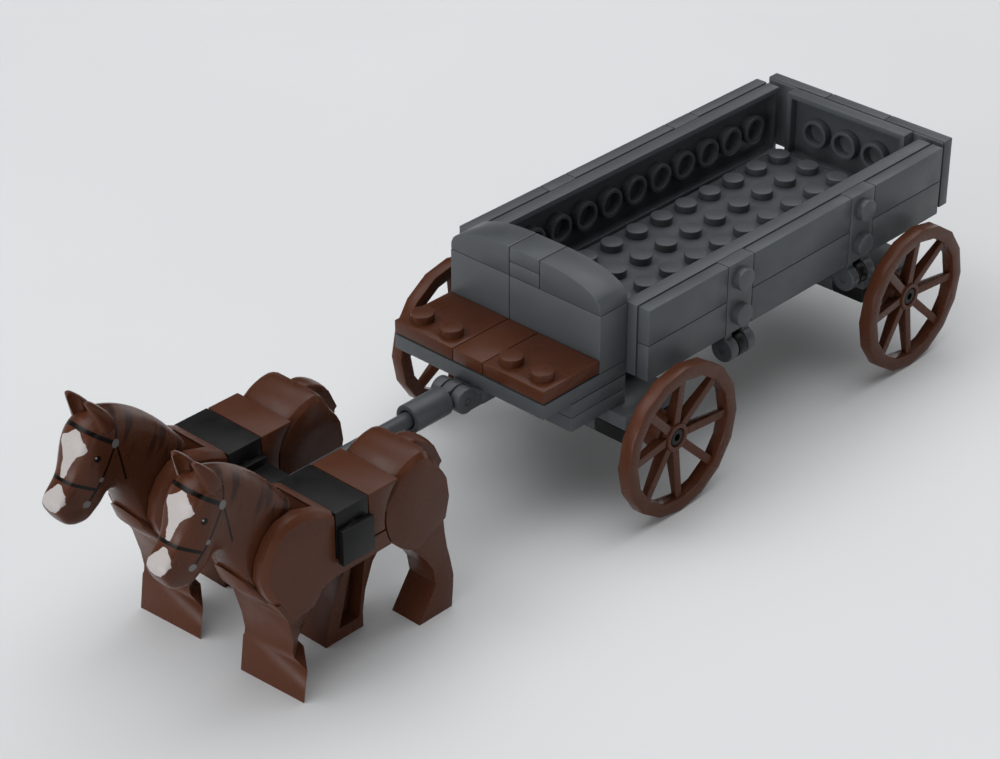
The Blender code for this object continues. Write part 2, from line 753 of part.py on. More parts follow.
RUMP_BACK = (
    (152.0, 37.1), (150.6, 35.6), (149.0, 32.4), (147.8, 29.4), (147.2, 25.2), (148.2, 20.8), (151.5, 19.4),
)
LEFT_HIND_LEVELS = (
    (21.5, 148.3, 160.0, 0.6), (17.5, 148.2, 156.6, 0.3), (13.9, 147.7, 153.5, 0.2), (10.8, 146.9, 151.5, 0.2),
    (7.1, 146.2, 150.8, 0.1), (4.4, 146.4, 152.5, 0.0), (0.0, 146.8, 155.5, 0.0),
)
RIGHT_HIND_LEVELS = (
    (20.6, 151.5, 161.0, 0.6), (17.0, 156.0, 164.8, 0.3), (13.0, 159.7, 168.0, 0.2),
    (8.0, 161.8, 170.4, 0.1), (3.5, 162.7, 171.8, 0.0), (0.0, 162.7, 172.3, 0.0),
)
LEG_RECESS = ((163.7, 2.6), (168.8, 2.6), (165.2, 14.8), (161.6, 14.8))
TAIL_OUTLINE = (
    (153.0, 36.0), (149.4, 35.6), (145.9, 33.4), (143.9, 29.0), (145.1, 28.0), (147.6, 29.8), (151.0, 32.4),
)
NECK_SECTIONS = (
    ((178.9, 36.6), (189.6, 22.0), 1.0, 0.4), ((181.6, 39.8), (192.3, 25.3), 1.0, 0.4),
    ((184.0, 42.9), (194.0, 29.2), 1.0, 0.4), ((187.2, 46.4), (196.1, 33.0), 0.98, 0.45),
    ((191.3, 49.9), (198.4, 36.3), 0.95, 0.55), ((196.0, 52.4), (199.8, 36.6), 1.0, 0.65),
    ((200.0, 52.9), (200.8, 35.4), 1.06, 0.65), ((202.9, 51.3), (201.6, 33.9), 1.08, 0.65),
    ((204.9, 49.2), (202.4, 32.9), 1.0, 0.65), ((205.9, 46.2), (203.5, 32.3), 0.9, 0.65),
    ((207.0, 43.2), (204.9, 31.9), 0.78, 0.65), ((209.0, 40.4), (206.4, 31.8), 0.68, 0.65),
    ((NOSE_END - 0.4, 38.2), (208.0, 32.6), 0.6, 0.65), ((NOSE_END - 0.9, 36.2), (209.3, 34.0), 0.42, 0.65),
)
EAR_ROOT = (199.8, 49.6)
EAR_TIP = (201.3, 57.0)
EAR_PROFILE = ((1.9, 0.0), (2.0, 2.6), (1.6, 4.6), (0.7, 6.6))
EAR_SPREAD = 2.5


def turned_about(points, degrees):
    """Points turned in the upright plane about the haunch axis."""
    angle = math.radians(degrees)
    result = []
    for x, z in points:
        dx = x - HAUNCH_X
        dz = z - HAUNCH_Z
        result.append((
            HAUNCH_X + dx * math.cos(angle) - dz * math.sin(angle),
            HAUNCH_Z + dx * math.sin(angle) + dz * math.cos(angle),
        ))
    return result


def haunch_rod(bm, y, half, radius, sides=ROUND):
    start = (HAUNCH_X, y - half, HAUNCH_Z)
    add_rod(bm, start, (HAUNCH_X, y + half, HAUNCH_Z), radius, sides)


def haunch_arc(low, high):
    """Points of the haunch's rim, facing the body."""
    points = []
    steps = 17
    for k in range(steps + 1):
        angle = math.radians(low + (high - low) * k / steps)
        points.append((HAUNCH_X + HAUNCH_RADIUS * math.cos(angle), HAUNCH_Z + HAUNCH_RADIUS * math.sin(angle)))
    return points


def tongue_outline():
    """The arm that the haunch turns on, as it leaves the body below the saddle notch."""
    return [
        (HAUNCH_X, HAUNCH_Z - KNOB_RADIUS), (165.0, 21.8), (167.0, NOTCH_FLOOR - GAP),
        (162.0, NOTCH_FLOOR - GAP), (HAUNCH_X + 2.0, HAUNCH_Z + 2.0),
    ]


def bevel(item, width):
    """Rounds the outline edges of an upright slab."""
    bm = bmesh.new()
    bm.from_mesh(item.data)
    sides = [face for face in bm.faces if len(face.verts) > 4]
    edges = {edge for face in sides for edge in face.edges}
    bmesh.ops.bevel(bm, geom=list(edges), offset=width, segments=1, profile=0.5, affect="EDGES")
    bm.to_mesh(item.data)
    bm.free()


def round_back(item, y, width):
    """Rounds the upper edges of the rump, on both flanks."""
    bm = bmesh.new()
    bm.from_mesh(item.data)
    edges = []
    for edge in bm.edges:
        ends = [vert.co for vert in edge.verts]
        level = abs(ends[0].y - ends[1].y) < GAP
        if level and all(end.z > HAUNCH_Z + HAUNCH_RADIUS / 3 for end in ends):
            edges.append(edge)
    bmesh.ops.bevel(bm, geom=edges, offset=width, segments=3, profile=0.5, affect="EDGES")
    bm.to_mesh(item.data)
    bm.free()


def add_leg(bm, levels, y_low, y_high):
    """A leg from (height, back x, front x, inset of its sides) levels."""
    rings = []
    for z, back, front, inset in levels:
        low = y_low + inset
        high = y_high - inset
        rings.append([(back, low, z), (front, low, z), (front, high, z), (back, high, z)])
    add_rings(bm, rings)


def breast_ring(y, turn):
    """A slice of the rounded breast that covers the foot of the neck, highest in the middle."""
    rise = math.sin(turn)
    back = BREAST_SWEEP * (1 - rise)
    low = SINK / (BREAST_TOP[1] - BREAST_MIDDLE[1])
    tip = Vector(BREAST_MIDDLE).lerp(Vector(BREAST_TOP), low + (1 - low) * rise)
    front = [BREAST_FOOT, BREAST_MIDDLE, tip]
    edge = [(x - back, z) for x, z in front]
    edge += [(x - back - BREAST_THICKNESS, z) for x, z in front[::-1]]
    side = y + NECK_HALF_WIDTH * math.cos(turn)
    return [(x, side, z) for x, z in edge]


def build_horse_body(name, y):
    """Barrel, shoulders and both front legs, with the arm that carries the hindquarters."""
    half = HORSE_HALF_WIDTH
    body = shaped(name, lambda bm: add_slab(bm, BODY_OUTLINE, y - half, y + half))
    bevel(body, 1.0)

    def legs(bm):
        rings = []
        for z, back, front, front_half, back_half in FRONT_LEG_LEVELS:
            rings.append([
                (back, y - back_half, z), (front, y - front_half, z),
                (front, y + front_half, z), (back, y + back_half, z),
            ])
        add_rings(bm, rings)

    join(body, legs)
    cut(body, lambda bm: add_box(bm, (140, y - half - 1, 0), (HAUNCH_X, y + half + 1, 60)))
    cut(body, lambda bm: haunch_rod(bm, y, half + 1, HAUNCH_RADIUS + GAP, SOCKET_SIDES))
    notch_end = SADDLE_START + SADDLE_LENGTH + HALF_GAP
    cut(body, lambda bm: add_box(bm, (140, y - half - 1, NOTCH_FLOOR), (notch_end, y + half + 1, 60)))
    slot = NECK_HALF_WIDTH + GAP
    cut(body, lambda bm: add_slab(bm, NECK_SLOT, y - slot, y + slot))
    turns = [math.pi * k / STUD_SIDES for k in range(STUD_SIDES + 1)]
    join(body, lambda bm: add_rings(bm, [breast_ring(y, turn) for turn in turns]))
    width = TONGUE_HALF_WIDTH
    join(body, lambda bm: add_slab(bm, tongue_outline(), y - width, y + width))
    join(body, lambda bm: haunch_rod(bm, y, width, KNOB_RADIUS))
    join(body, lambda bm: haunch_rod(bm, y, width + BOSS_REACH, PIN_SHAFT, STUD_SIDES))
    return finish(body, name, BROWN, (HAUNCH_X, y, HAUNCH_Z))


def build_hindquarters(name, y):
    """Rump, tail and both hind legs in one piece, turning about the haunch."""
    half = HORSE_HALF_WIDTH
    outline = haunch_arc(-80, 90) + list(RUMP_BACK)
    rump = shaped(name, lambda bm: add_slab(bm, outline, y - half, y + half))
    round_back(rump, y, BACK_ROUND)
    join(rump, lambda bm: add_leg(bm, LEFT_HIND_LEVELS, y + HALF_GAP, y + half))
    join(rump, lambda bm: add_leg(bm, RIGHT_HIND_LEVELS, y - half, y - HALF_GAP))
    join(rump, lambda bm: add_slab(bm, TAIL_OUTLINE, y - 2.4, y + 2.4))
    cut(rump, lambda bm: add_slab(bm, LEG_RECESS, y - 3.6, y + 1))
    slot = TONGUE_HALF_WIDTH + GAP

    def sweep(bm):
        points = []
        for degrees in (-2, 12, 27, HAUNCH_TURN + 3):
            points += turned_about(tongue_outline(), degrees)
        verts = [bm.verts.new((x, level, z)) for x, z in points for level in (y - slot, y + slot)]
        bmesh.ops.convex_hull(bm, input=verts)
        loose = [vert for vert in bm.verts if not vert.link_faces]
        bmesh.ops.delete(bm, geom=loose, context="VERTS")

    cut(rump, sweep)
    cut(rump, lambda bm: haunch_rod(bm, y, slot, KNOB_RADIUS + GAP))
    cut(rump, lambda bm: haunch_rod(bm, y, slot + BOSS_REACH, PIN_SHAFT + GAP, STUD_SIDES))
    return finish(rump, name, BROWN, (HAUNCH_X, y, HAUNCH_Z))


def neck_ring(crest, throat, fullness, squareness, y):
    """A section across the neck or head, from its upper edge to its lower edge."""
    middle = Vector(((crest[0] + throat[0]) / 2, y, (crest[1] + throat[1]) / 2))
    reach = Vector(((crest[0] - throat[0]) / 2, 0, (crest[1] - throat[1]) / 2))
    half_width = NECK_HALF_WIDTH * fullness
    points = []
    for k in range(NECK_SIDES):
        angle = math.tau * (k + 0.5) / NECK_SIDES
        along = math.copysign(abs(math.cos(angle)) ** squareness, math.cos(angle))
        across = math.copysign(abs(math.sin(angle)) ** squareness, math.sin(angle))
        points.append(middle + reach * along + Y_AXIS * half_width * across)
    return points


def build_neck(name, y):
    """Neck and head in one piece, set between the shoulders."""
    rings = [neck_ring(*section, y) for section in NECK_SECTIONS]
    neck = shaped(name, lambda bm: add_rings(bm, rings))
    for side in (1, -1):
        base = Vector((EAR_ROOT[0], y + side * EAR_SPREAD, EAR_ROOT[1]))
        line = Vector((EAR_TIP[0], y + side * (EAR_SPREAD + HALF_GAP), EAR_TIP[1])) - base
        join(neck, lambda bm: add_turned(bm, EAR_PROFILE, base, line.normalized(), 10))
    return finish(neck, name, BROWN, (NECK_SECTIONS[0][1][0], y, HAUNCH_Z), smooth_angle=50.0)


def build_back_brick(name, y):
    """The brick behind the harness that fills the rest of the notch."""
    half = HORSE_HALF_WIDTH
    end = SADDLE_START - HALF_GAP
    floor = NOTCH_FLOOR + GAP
    brick_box = ((HAUNCH_X, y - half, floor), (end, y + half, SADDLE_TOP))
    filler = shaped(name, lambda bm: add_box(bm, *brick_box))
    cut(filler, lambda bm: haunch_rod(bm, y, half + 1, HAUNCH_RADIUS + GAP, SOCKET_SIDES))
    return finish(filler, name, BROWN, (end, y, SADDLE_TOP))


def build_harness(name, y):
    """The black block across the back with a square pad on either flank."""
    half = HORSE_HALF_WIDTH
    length = SADDLE_LENGTH - GAP
    floor = NOTCH_FLOOR + GAP
    middle = SADDLE_START + SADDLE_LENGTH / 2
    low = (middle - length / 2, y - half, floor)
    high = (middle + length / 2, y + half, SADDLE_TOP)
    harness = shaped(name, lambda bm: add_box(bm, low, high))
    for side in (1, -1):
        inner, outer = sorted((y + side * (half + GAP), y + side * (half + PAD_DEPTH)))
        start = (middle - length / 2 + EASE, inner, PAD_LOW)
        end = (middle + length / 2 - EASE, outer, PAD_LOW + PAD_HEIGHT)
        center_z = PAD_LOW + PAD_HEIGHT / 2 + 1.4
        peg_end = (middle, y + side * (half + GAP + SINK), center_z)
        join(harness, lambda bm: add_rod(bm, (middle, y, center_z), peg_end, STUD_RADIUS, STUD_SIDES))
        join(harness, lambda bm: add_box(bm, start, end))
    return finish(harness, name, BLACK, (middle, y, SADDLE_TOP))


def build_horse(label, y):
    body = build_horse_body(label + "_horse_body", y)
    attach(build_neck(label + "_horse_neck", y), body)
    attach(build_hindquarters(label + "_horse_hindquarters", y), body)
    attach(build_back_brick(label + "_horse_back_brick", y), body)
    attach(build_harness(label + "_horse_harness", y), body)
    return body


def build():
    clear_scene()
    build_bed()
    build_frame()
    build_hinge_bases()
    for end, x in (("front", FRONT_AXLE), ("rear", REAR_AXLE)):
        build_axle_beam(end, x)
        for side, label in SIDES:
            build_wheel_holder("%s_%s_wheel_holder" % (end, label), x, side)
            build_wheel("%s_%s_wheel" % (end, label), x, side)
    build_front_block()
    build_platform()
    build_dashboard()
    for side, label in SIDES:
        build_side_board(side, label)
    build_tailgate()
    knuckle = build_pole()
    for side, label in SIDES:
        attach(build_horse(label, side * HORSE_Y), knuckle)


build()
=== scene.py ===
"""Studio picture of a brick-built toy wagon drawn by two horses, dressed over its CAD frame."""

import json
import math

import bmesh
import bpy
from mathutils import Matrix, Vector

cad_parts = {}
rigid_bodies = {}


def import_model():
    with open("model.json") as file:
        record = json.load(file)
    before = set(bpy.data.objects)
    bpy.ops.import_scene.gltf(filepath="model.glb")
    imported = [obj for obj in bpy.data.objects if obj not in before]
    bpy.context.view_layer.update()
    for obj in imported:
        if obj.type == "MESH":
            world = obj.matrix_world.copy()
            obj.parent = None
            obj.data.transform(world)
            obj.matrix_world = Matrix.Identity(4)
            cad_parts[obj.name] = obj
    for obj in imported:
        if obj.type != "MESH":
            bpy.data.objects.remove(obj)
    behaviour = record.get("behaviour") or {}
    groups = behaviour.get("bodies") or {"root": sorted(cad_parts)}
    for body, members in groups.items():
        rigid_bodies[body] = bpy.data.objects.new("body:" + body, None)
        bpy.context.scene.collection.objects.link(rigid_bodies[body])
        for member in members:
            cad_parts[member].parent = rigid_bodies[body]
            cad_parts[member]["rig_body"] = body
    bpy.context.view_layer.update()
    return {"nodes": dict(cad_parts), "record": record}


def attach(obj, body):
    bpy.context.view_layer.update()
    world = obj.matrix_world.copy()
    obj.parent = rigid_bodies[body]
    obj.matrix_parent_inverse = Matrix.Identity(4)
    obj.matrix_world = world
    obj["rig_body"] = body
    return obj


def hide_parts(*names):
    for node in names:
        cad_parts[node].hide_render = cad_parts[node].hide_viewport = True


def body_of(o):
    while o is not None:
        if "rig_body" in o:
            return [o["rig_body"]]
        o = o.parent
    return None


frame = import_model()

MM = 0.001
MIDDLE_X = 102.55
X_AXIS = Vector((1, 0, 0))
Y_AXIS = Vector((0, 1, 0))
Z_AXIS = Vector((0, 0, 1))
SIDES = ((1, "left"), (-1, "right"))
ENDS = (("front", 92.6), ("rear", 15.8))

# Brick grid, in millimetres
PITCH = 8.0
PLATE = 3.2
GAP = 0.14
LIFT = 0.07
WALL = 1.3
ROOF = 1.0
STUD_RADIUS = 2.4
STUD_HEIGHT = 1.7
EDGE = 0.18

# Levels of the wagon, in millimetres
BED_Z = 28.2
SEAT_Z = BED_Z + PLATE
KEEL_Z = BED_Z - 2 * PLATE
WALL_Z = BED_Z + 0.15 + PITCH
BOARD_Y = 18.9
GATE_X = 1.1
DASH_X = 96.0
AXLE_Z = 16.5
WHEEL_FACE = 32.3
HINGE_Z = BED_Z - 3.4
HINGE_OUT = 5.4
HINGE_RADIUS = 2.7
FINGER_HALF = 1.2
FORK_HALF = 1.5
HORSE_Y = 14.0

# Wheels and pole, in millimetres
RIM_SIDES = 16
RIM_DEPTH = 2.9
RIM_BREADTH = 2.84
SPOKE_COUNT = 8
HUB_RADIUS = 3.0
HUB_FOOT = 24.65
HUB_TOP = WHEEL_FACE - 1.5
BARREL_RADIUS = 3.9
PIN_RADIUS = 1.4
PIN_HOLE = 1.55
POLE_Z = BED_Z - 0.65
SHAFT_RADIUS = 1.6
YOKE_HALF = HORSE_Y - 7.45 - 1.65 - 0.3


# Finishes


class Amount:
    """A number carried through a finish; arithmetic on it adds Math nodes."""

    def __init__(self, finish, socket):
        self.finish = finish
        self.socket = socket

    def join(self, operation, first, second=0.0, third=0.0):
        node = self.finish.node("ShaderNodeMath", {"operation": operation}, {0: first, 1: second, 2: third})
        return Amount(self.finish, node.outputs[0])

    def __add__(self, other):
        return self.join("ADD", self, other)

    __radd__ = __add__

    def __sub__(self, other):
        return self.join("SUBTRACT", self, other)

    def __rsub__(self, other):
        return self.join("SUBTRACT", other, self)

    def __mul__(self, other):
        return self.join("MULTIPLY", self, other)

    __rmul__ = __mul__

    def __truediv__(self, other):
        return self.join("DIVIDE", self, other)

    def __rtruediv__(self, other):
        return self.join("DIVIDE", other, self)

    def __pow__(self, other):
        return self.join("POWER", self, other)

    def __abs__(self):
        return self.join("ABSOLUTE", self)

    def ramp(self, low, high, bottom=0.0, top=1.0):
        """Runs from bottom to top while the number goes from low to high, and stops there."""
        values = {0: self, 1: low, 2: high, 3: bottom, 4: top}
        node = self.finish.node("ShaderNodeMapRange", {"clamp": True}, values)
        return Amount(self.finish, node.outputs[0])


class Nodes:
    """A node tree and the one way that nodes are added to it."""

    def __init__(self, tree):
        self.tree = tree

    def node(self, kind, settings=None, sockets=None):
        """Adds a node: its settings first, then the values or links of its sockets."""
        node = self.tree.nodes.new(kind)
        for key, value in (settings or {}).items():
            if key == "stops":
                ramp = node.color_ramp
                while len(ramp.elements) < len(value):
                    ramp.elements.new(0.5)
                for element, (position, color) in zip(ramp.elements, value):
                    element.position = position
                    element.color = color
            else:
                setattr(node, key, value)
        self.feed(node, sockets or {})
        return node

    def feed(self, node, sockets):
        for key, value in sockets.items():
            if isinstance(value, Amount):
                value = value.socket
            if isinstance(value, bpy.types.NodeSocket):
                self.tree.links.new(value, node.inputs[key])
            else:
                node.inputs[key].default_value = value

    def parts(self, vector):
        """The three numbers of a vector."""
        node = self.node("ShaderNodeSeparateXYZ", None, {0: vector})
        return [Amount(self, socket) for socket in node.outputs]


class Finish(Nodes):
    """One procedural plastic: its material and the nodes in it."""

    def __init__(self, name, specular=0.5):
        self.material = bpy.data.materials.new(name)
        self.material.use_nodes = True
        super().__init__(self.material.node_tree)
        self.shader = self.tree.nodes["Principled BSDF"]
        self.shader.inputs["Specular IOR Level"].default_value = specular
        self.place = self.node("ShaderNodeTexCoord").outputs["Object"]

    def noise(self, scale, detail=2.0, roughness=0.5, place=None):
        sockets = {"Vector": place or self.place, "Scale": scale, "Detail": detail, "Roughness": roughness}
        return Amount(self, self.node("ShaderNodeTexNoise", None, sockets).outputs[0])

    def mix(self, amount, first, second, blend="MIX"):
        """Mixes two colours."""
        settings = {"data_type": "RGBA", "blend_type": blend, "clamp_factor": True}
        return self.node("ShaderNodeMix", settings, {0: amount, 6: first, 7: second}).outputs[2]

    def surface(self, color, roughness, bump=None, strength=0.3, distance=0.00005):
        self.feed(self.shader, {"Base Color": color, "Roughness": roughness})
        if bump is not None:
            sockets = {"Height": bump, "Strength": strength, "Distance": distance}
            normal = self.node("ShaderNodeBump", None, sockets).outputs[0]
            self.feed(self.shader, {"Normal": normal})


def shade(color, factor):
    return tuple(min(1.0, channel * factor) for channel in color) + (1.0,)


def moulded_plastic(name, color, gloss, specular, print_and_shade=None):
    """Moulded brick plastic: cloudy tone, light scuffs and hairline scratches, sharp edges lightened as a
    painted highlight and made rougher, fine ripple.
    """
    finish = Finish(name, specular)
    cloud = finish.noise(70.0, 3.0)
    fleck = finish.noise(900.0, 2.0)
    base = finish.mix(cloud.ramp(0.35, 0.65), shade(color, 0.93), shade(color, 1.07))
    base = finish.mix(fleck.ramp(0.55, 0.75) * 0.25, base, shade(color, 1.25))
    grain = finish.node("ShaderNodeMapping", None, {"Vector": finish.place, "Rotation": (0.5, 0.35, 0.8),
                                                    "Scale": (35.0, 35.0, 420.0)}).outputs[0]
    hair = finish.noise(9.0, 2.0, 0.6, grain)
    hair = abs(hair - 0.5).ramp(0.0, 0.012, 1.0, 0.0)
    patches = finish.noise(110.0, 1.0).ramp(0.5, 0.62)
    scratches = hair * patches
    edges = Amount(finish, finish.node("ShaderNodeNewGeometry").outputs["Pointiness"]).ramp(0.52, 0.6)
    base = finish.mix(scratches * 0.3, base, shade(color, 1.7))
    # Painted highlight: sharp edges are lightened as if their rounding caught the light.
    base = finish.mix(edges * 0.25, base, shade(color, 1.5))
    if print_and_shade:
        base = print_and_shade(finish, base)
    smudge = finish.noise(180.0, 4.0, 0.6).ramp(0.35, 0.7, gloss - 0.05, gloss + 0.12)
    roughness = smudge + scratches * 0.15 + edges * 0.08
    ripple = finish.noise(420.0, 2.0) * 0.7 + finish.noise(2600.0, 1.0) * 0.12 - scratches * 0.4
    finish.surface(base, roughness, ripple, 0.22)
    return finish.material


GRAY = (0.054, 0.059, 0.064)
DARK = (0.0045, 0.0045, 0.0045)
BROWN = (0.062, 0.020, 0.0095)

gray_plastic = moulded_plastic("dark_gray_plastic", GRAY, 0.33, 0.28)
black_plastic = moulded_plastic("black_plastic", DARK, 0.3, 0.18)
brown_plastic = moulded_plastic("brown_plastic", BROWN, 0.26, 0.17)
PLASTICS = {"dark_grey": gray_plastic, "black": black_plastic, "reddish_brown": brown_plastic}


# Bench tools


def point(x, y, z):
    """A point in the CAD's frame, from millimetres counted forward from the rear of the boards."""
    return Vector(((x - MIDDLE_X) * MM, y * MM, z * MM))


def leave():
    if bpy.context.mode != "OBJECT":
        bpy.ops.object.mode_set(mode="OBJECT")


def only(*items):
    leave()
    bpy.ops.object.select_all(action="DESELECT")
    for item in items:
        item.select_set(True)
    bpy.context.view_layer.objects.active = items[0]


def enter(item, kind="FACE"):
    only(item)
    bpy.ops.object.mode_set(mode="EDIT")
    bpy.ops.mesh.select_mode(type=kind)
    bpy.ops.mesh.select_all(action="DESELECT")


def pick_faces(item, test):
    """Selects the faces whose middle and normal pass a test."""
    mesh = bmesh.from_edit_mesh(item.data)
    for face in mesh.faces:
        if test(face.calc_center_median() / MM, face.normal):
            face.select_set(True)
    bmesh.update_edit_mesh(item.data)


def freeze(item):
    """Puts the object's place, turn and size into its mesh."""
    only(item)
    bpy.ops.object.transform_apply(location=True, rotation=True, scale=True)
    return item


def block(low, high):
    """A cube added at its size and place, in millimetres."""
    leave()
    bpy.ops.object.select_all(action="DESELECT")
    low, high = Vector(low) * MM, Vector(high) * MM
    bpy.ops.mesh.primitive_cube_add(size=1, location=(low + high) / 2, scale=high - low)
    return freeze(bpy.context.object)


def drum(radius, start, end, sides=32):
    """A cylinder added between two points, in millimetres."""
    leave()
    bpy.ops.object.select_all(action="DESELECT")
    start, end = Vector(start) * MM, Vector(end) * MM
    axis = end - start
    turn = axis.to_track_quat("Z", "Y").to_euler()
    bpy.ops.mesh.primitive_cylinder_add(vertices=sides, radius=radius * MM, depth=axis.length,
                                        location=(start + end) / 2, rotation=turn)
    return freeze(bpy.context.object)


def soften(item, width=EDGE, segments=2, angle=30):
    """Rounds every edge that is sharper than an angle."""
    only(item)
    modifier = item.modifiers.new("edges", "BEVEL")
    modifier.width = width * MM
    modifier.segments = segments
    modifier.limit_method = "ANGLE"
    modifier.angle_limit = math.radians(angle)
    bpy.ops.object.modifier_apply(modifier=modifier.name)
    return item


def combine(item, other, operation="UNION"):
    only(item)
    modifier = item.modifiers.new("joint", "BOOLEAN")
    modifier.operation = operation
    modifier.solver = "EXACT"
    modifier.object = other
    bpy.ops.object.modifier_apply(modifier=modifier.name)
    bpy.data.objects.remove(other, do_unlink=True)
    return item


def carve(item, other):
    return combine(item, other, "DIFFERENCE")


def twin(item, shift=(0, 0, 0)):
    """A copy with its own mesh, moved by millimetres."""
    double = item.copy()
    double.data = item.data.copy()
    bpy.context.collection.objects.link(double)
    double.location = Vector(double.location) + Vector(shift) * MM
    return freeze(double)


def gather(items):
    """Joins loose pieces into one object."""
    only(*items)
    if len(items) > 1:
        bpy.ops.object.join()
    return items[0]


def stand(item, origin, along=X_AXIS, up=Z_AXIS):
    """Moves a piece from the bench to its place on the wagon."""
    across = up.cross(along)
    matrix = Matrix.Translation(point(*origin))
    for column, direction in enumerate((along, across, up)):
        for row in range(3):
            matrix[row][column] = direction[row]
    item.matrix_world = matrix
    return freeze(item)


def dress(item, name, nodes, plastic=None, angle=35):
    """Names a finished piece, lets it stand for CAD nodes and ride with them, and gives it its finish."""
    nodes = [nodes] if isinstance(nodes, str) else list(nodes)
    freeze(item)
    bpy.ops.object.shade_smooth_by_angle(angle=math.radians(angle))
    item.name = item.data.name = name
    slot = slots[nodes[0]]
    item.data.materials.clear()
    item.data.materials.append(plastic or PLASTICS[slot])
    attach(item, body_of(frame["nodes"][nodes[0]])[0])
    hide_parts(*nodes)
    return item


slots = {part["node"]: part["material_slot"] for part in frame["record"]["subparts"]}


# Bricks, made on the bench with their underside at height zero


def stud(height):
    """A bare stud with a softly rounded rim."""
    piece = drum(STUD_RADIUS, (0, 0, height - 0.4), (0, 0, height + STUD_HEIGHT))
    enter(piece, "EDGE")
    rim = bmesh.from_edit_mesh(piece.data)
    for edge in rim.edges:
        if all(vert.co.z > height * MM for vert in edge.verts):
            edge.select_set(True)
    bmesh.update_edit_mesh(piece.data)
    bpy.ops.mesh.bevel(offset=0.2 * MM, segments=3, affect="EDGES")
    leave()
    return piece


def tube(radius, bore, low, high):
    """An open tube: a cylinder whose foot is inset and pushed up."""
    piece = drum(radius, (0, 0, low), (0, 0, high))
    enter(piece)
    pick_faces(piece, lambda middle, normal: normal.z < -0.9)
    bpy.ops.mesh.inset(thickness=(radius - bore) * MM)
    bpy.ops.mesh.extrude_region_move(TRANSFORM_OT_translate={"value": (0, 0, (high - low - 0.3) * MM)})
    leave()
    return soften(piece, 0.12)


def spread(piece, places):
    """One piece modelled once and copied to every place."""
    copies = [twin(piece, (u, v, 0)) for u, v in places]
    bpy.data.objects.remove(piece, do_unlink=True)
    return gather(copies)


def grid(nu, nv):
    return [((i - (nu - 1) / 2) * PITCH, (j - (nv - 1) / 2) * PITCH) for i in range(nu) for j in range(nv)]


def brick(nu, nv, height, studs=(), tubes=(), hollow=True, low=LIFT, groove=False):
    """A brick, plate or tile with rounded edges, hollow below, with the given studs and tubes."""
    u = (nu * PITCH - GAP) / 2
    v = (nv * PITCH - GAP) / 2
    foot = 0.42 if groove else low
    piece = block((-u, -v, foot), (u, v, height))
    enter(piece)
    pick_faces(piece, lambda middle, normal: normal.z < -0.9)
    if groove:
        bpy.ops.mesh.inset(thickness=0.4 * MM)
        bpy.ops.mesh.extrude_region_move(TRANSFORM_OT_translate={"value": (0, 0, (low - foot) * MM)})
    if hollow:
        bpy.ops.mesh.inset(thickness=(WALL - (0.4 if groove else 0)) * MM)
        bpy.ops.mesh.extrude_region_move(TRANSFORM_OT_translate={"value": (0, 0, (height - ROOF - low) * MM)})
    leave()
    soften(piece)
    if studs:
        combine(piece, spread(stud(height), studs))
    if tubes:
        combine(piece, spread(tube(3.25, 2.4, low, height - ROOF + 0.3), tubes))
    return piece


# Finger hinges: the barrel axis runs across the brick, at (u, w)


def finger(piece, u, w, low, high, start):
    """A rounded barrel and the flat arm that carries it."""
    barrel = soften(drum(HINGE_RADIUS, (u, low, w), (u, high, w), 40), 0.25, 3)
    for start_y, end_y in ((low - 1, low + 0.25), (high - 0.25, high + 1)):
        dimple = soften(drum(0.9, (u, start_y, w), (u, end_y, w), 24), 0.05, 1)
        carve(barrel, dimple)
    arm = soften(block((start - 0.5, low + 0.1, LIFT), (u, high - 0.1, PLATE - 0.3)), 0.1)
    combine(piece, arm)
    return combine(piece, barrel)


def single_finger(piece, u, w):
    return finger(piece, u, w, -FINGER_HALF, FINGER_HALF, PITCH)


def double_finger(piece, u, w, start):
    edge = PITCH / 2 - 0.15
    finger(piece, u, w, FORK_HALF, edge, start)
    return finger(piece, u, w, -edge, -FORK_HALF, start)


# Bed, chassis and platform


def build_bed():
    piece = brick(11, 4, PLATE, grid(11, 4))
    stand(piece, (48, 0, BED_Z))
    dress(piece, "bed", "bed_floor")


def build_keel():
    piece = brick(12, 3, PLATE, [], grid(11, 2))
    dress(stand(piece, (48, 0, KEEL_Z)), "keel", "keel_plate")
    piece = brick(10, 1, PLATE - 0.1)
    dress(stand(piece, (56, 0, BED_Z - PLATE)), "spine", "spine_plate")


def build_hinge_bases():
    for end, x in (("rear", 28), ("front", 68)):
        for side, label in SIDES:
            piece = brick(2, 1, PLATE - 0.1)
            single_finger(piece, BOARD_Y + HINGE_OUT - PITCH / 2 - PITCH, PLATE - 3.4)
            stand(piece, (x, side * 1.5 * PITCH, BED_Z - PLATE), Y_AXIS * side)
            name = "%s_hinge_base_%s" % (label, end)
            dress(piece, name.replace("base", "plate"), name)
    piece = brick(2, 1, PLATE - 0.1)
    single_finger(piece, PITCH + HINGE_OUT - GATE_X, PLATE - 3.4)
    stand(piece, (PITCH, 0, BED_Z - PLATE), -X_AXIS)
    dress(piece, "tail_hinge_plate", "tail_hinge_base")


def build_axles():
    for end, x in ENDS:
        upper = brick(2, 6, PLATE)
        lower = brick(2, 4, PLATE)
        stand(lower, (MIDDLE_X, 0, -PLATE))
        piece = gather([upper, lower])
        stand(piece, (x, 0, BED_Z - 3 * PLATE))
        dress(piece, end + "_axle", end + "_axle_beam")
        for side, label in SIDES:
            holder = build_holder(side)
            stand(holder, (x, side * 20, BED_Z - 4 * PLATE), X_AXIS * side)
            dress(holder, "%s_%s_pin_plate" % (end, label), "%s_%s_wheel_holder" % (end, label))


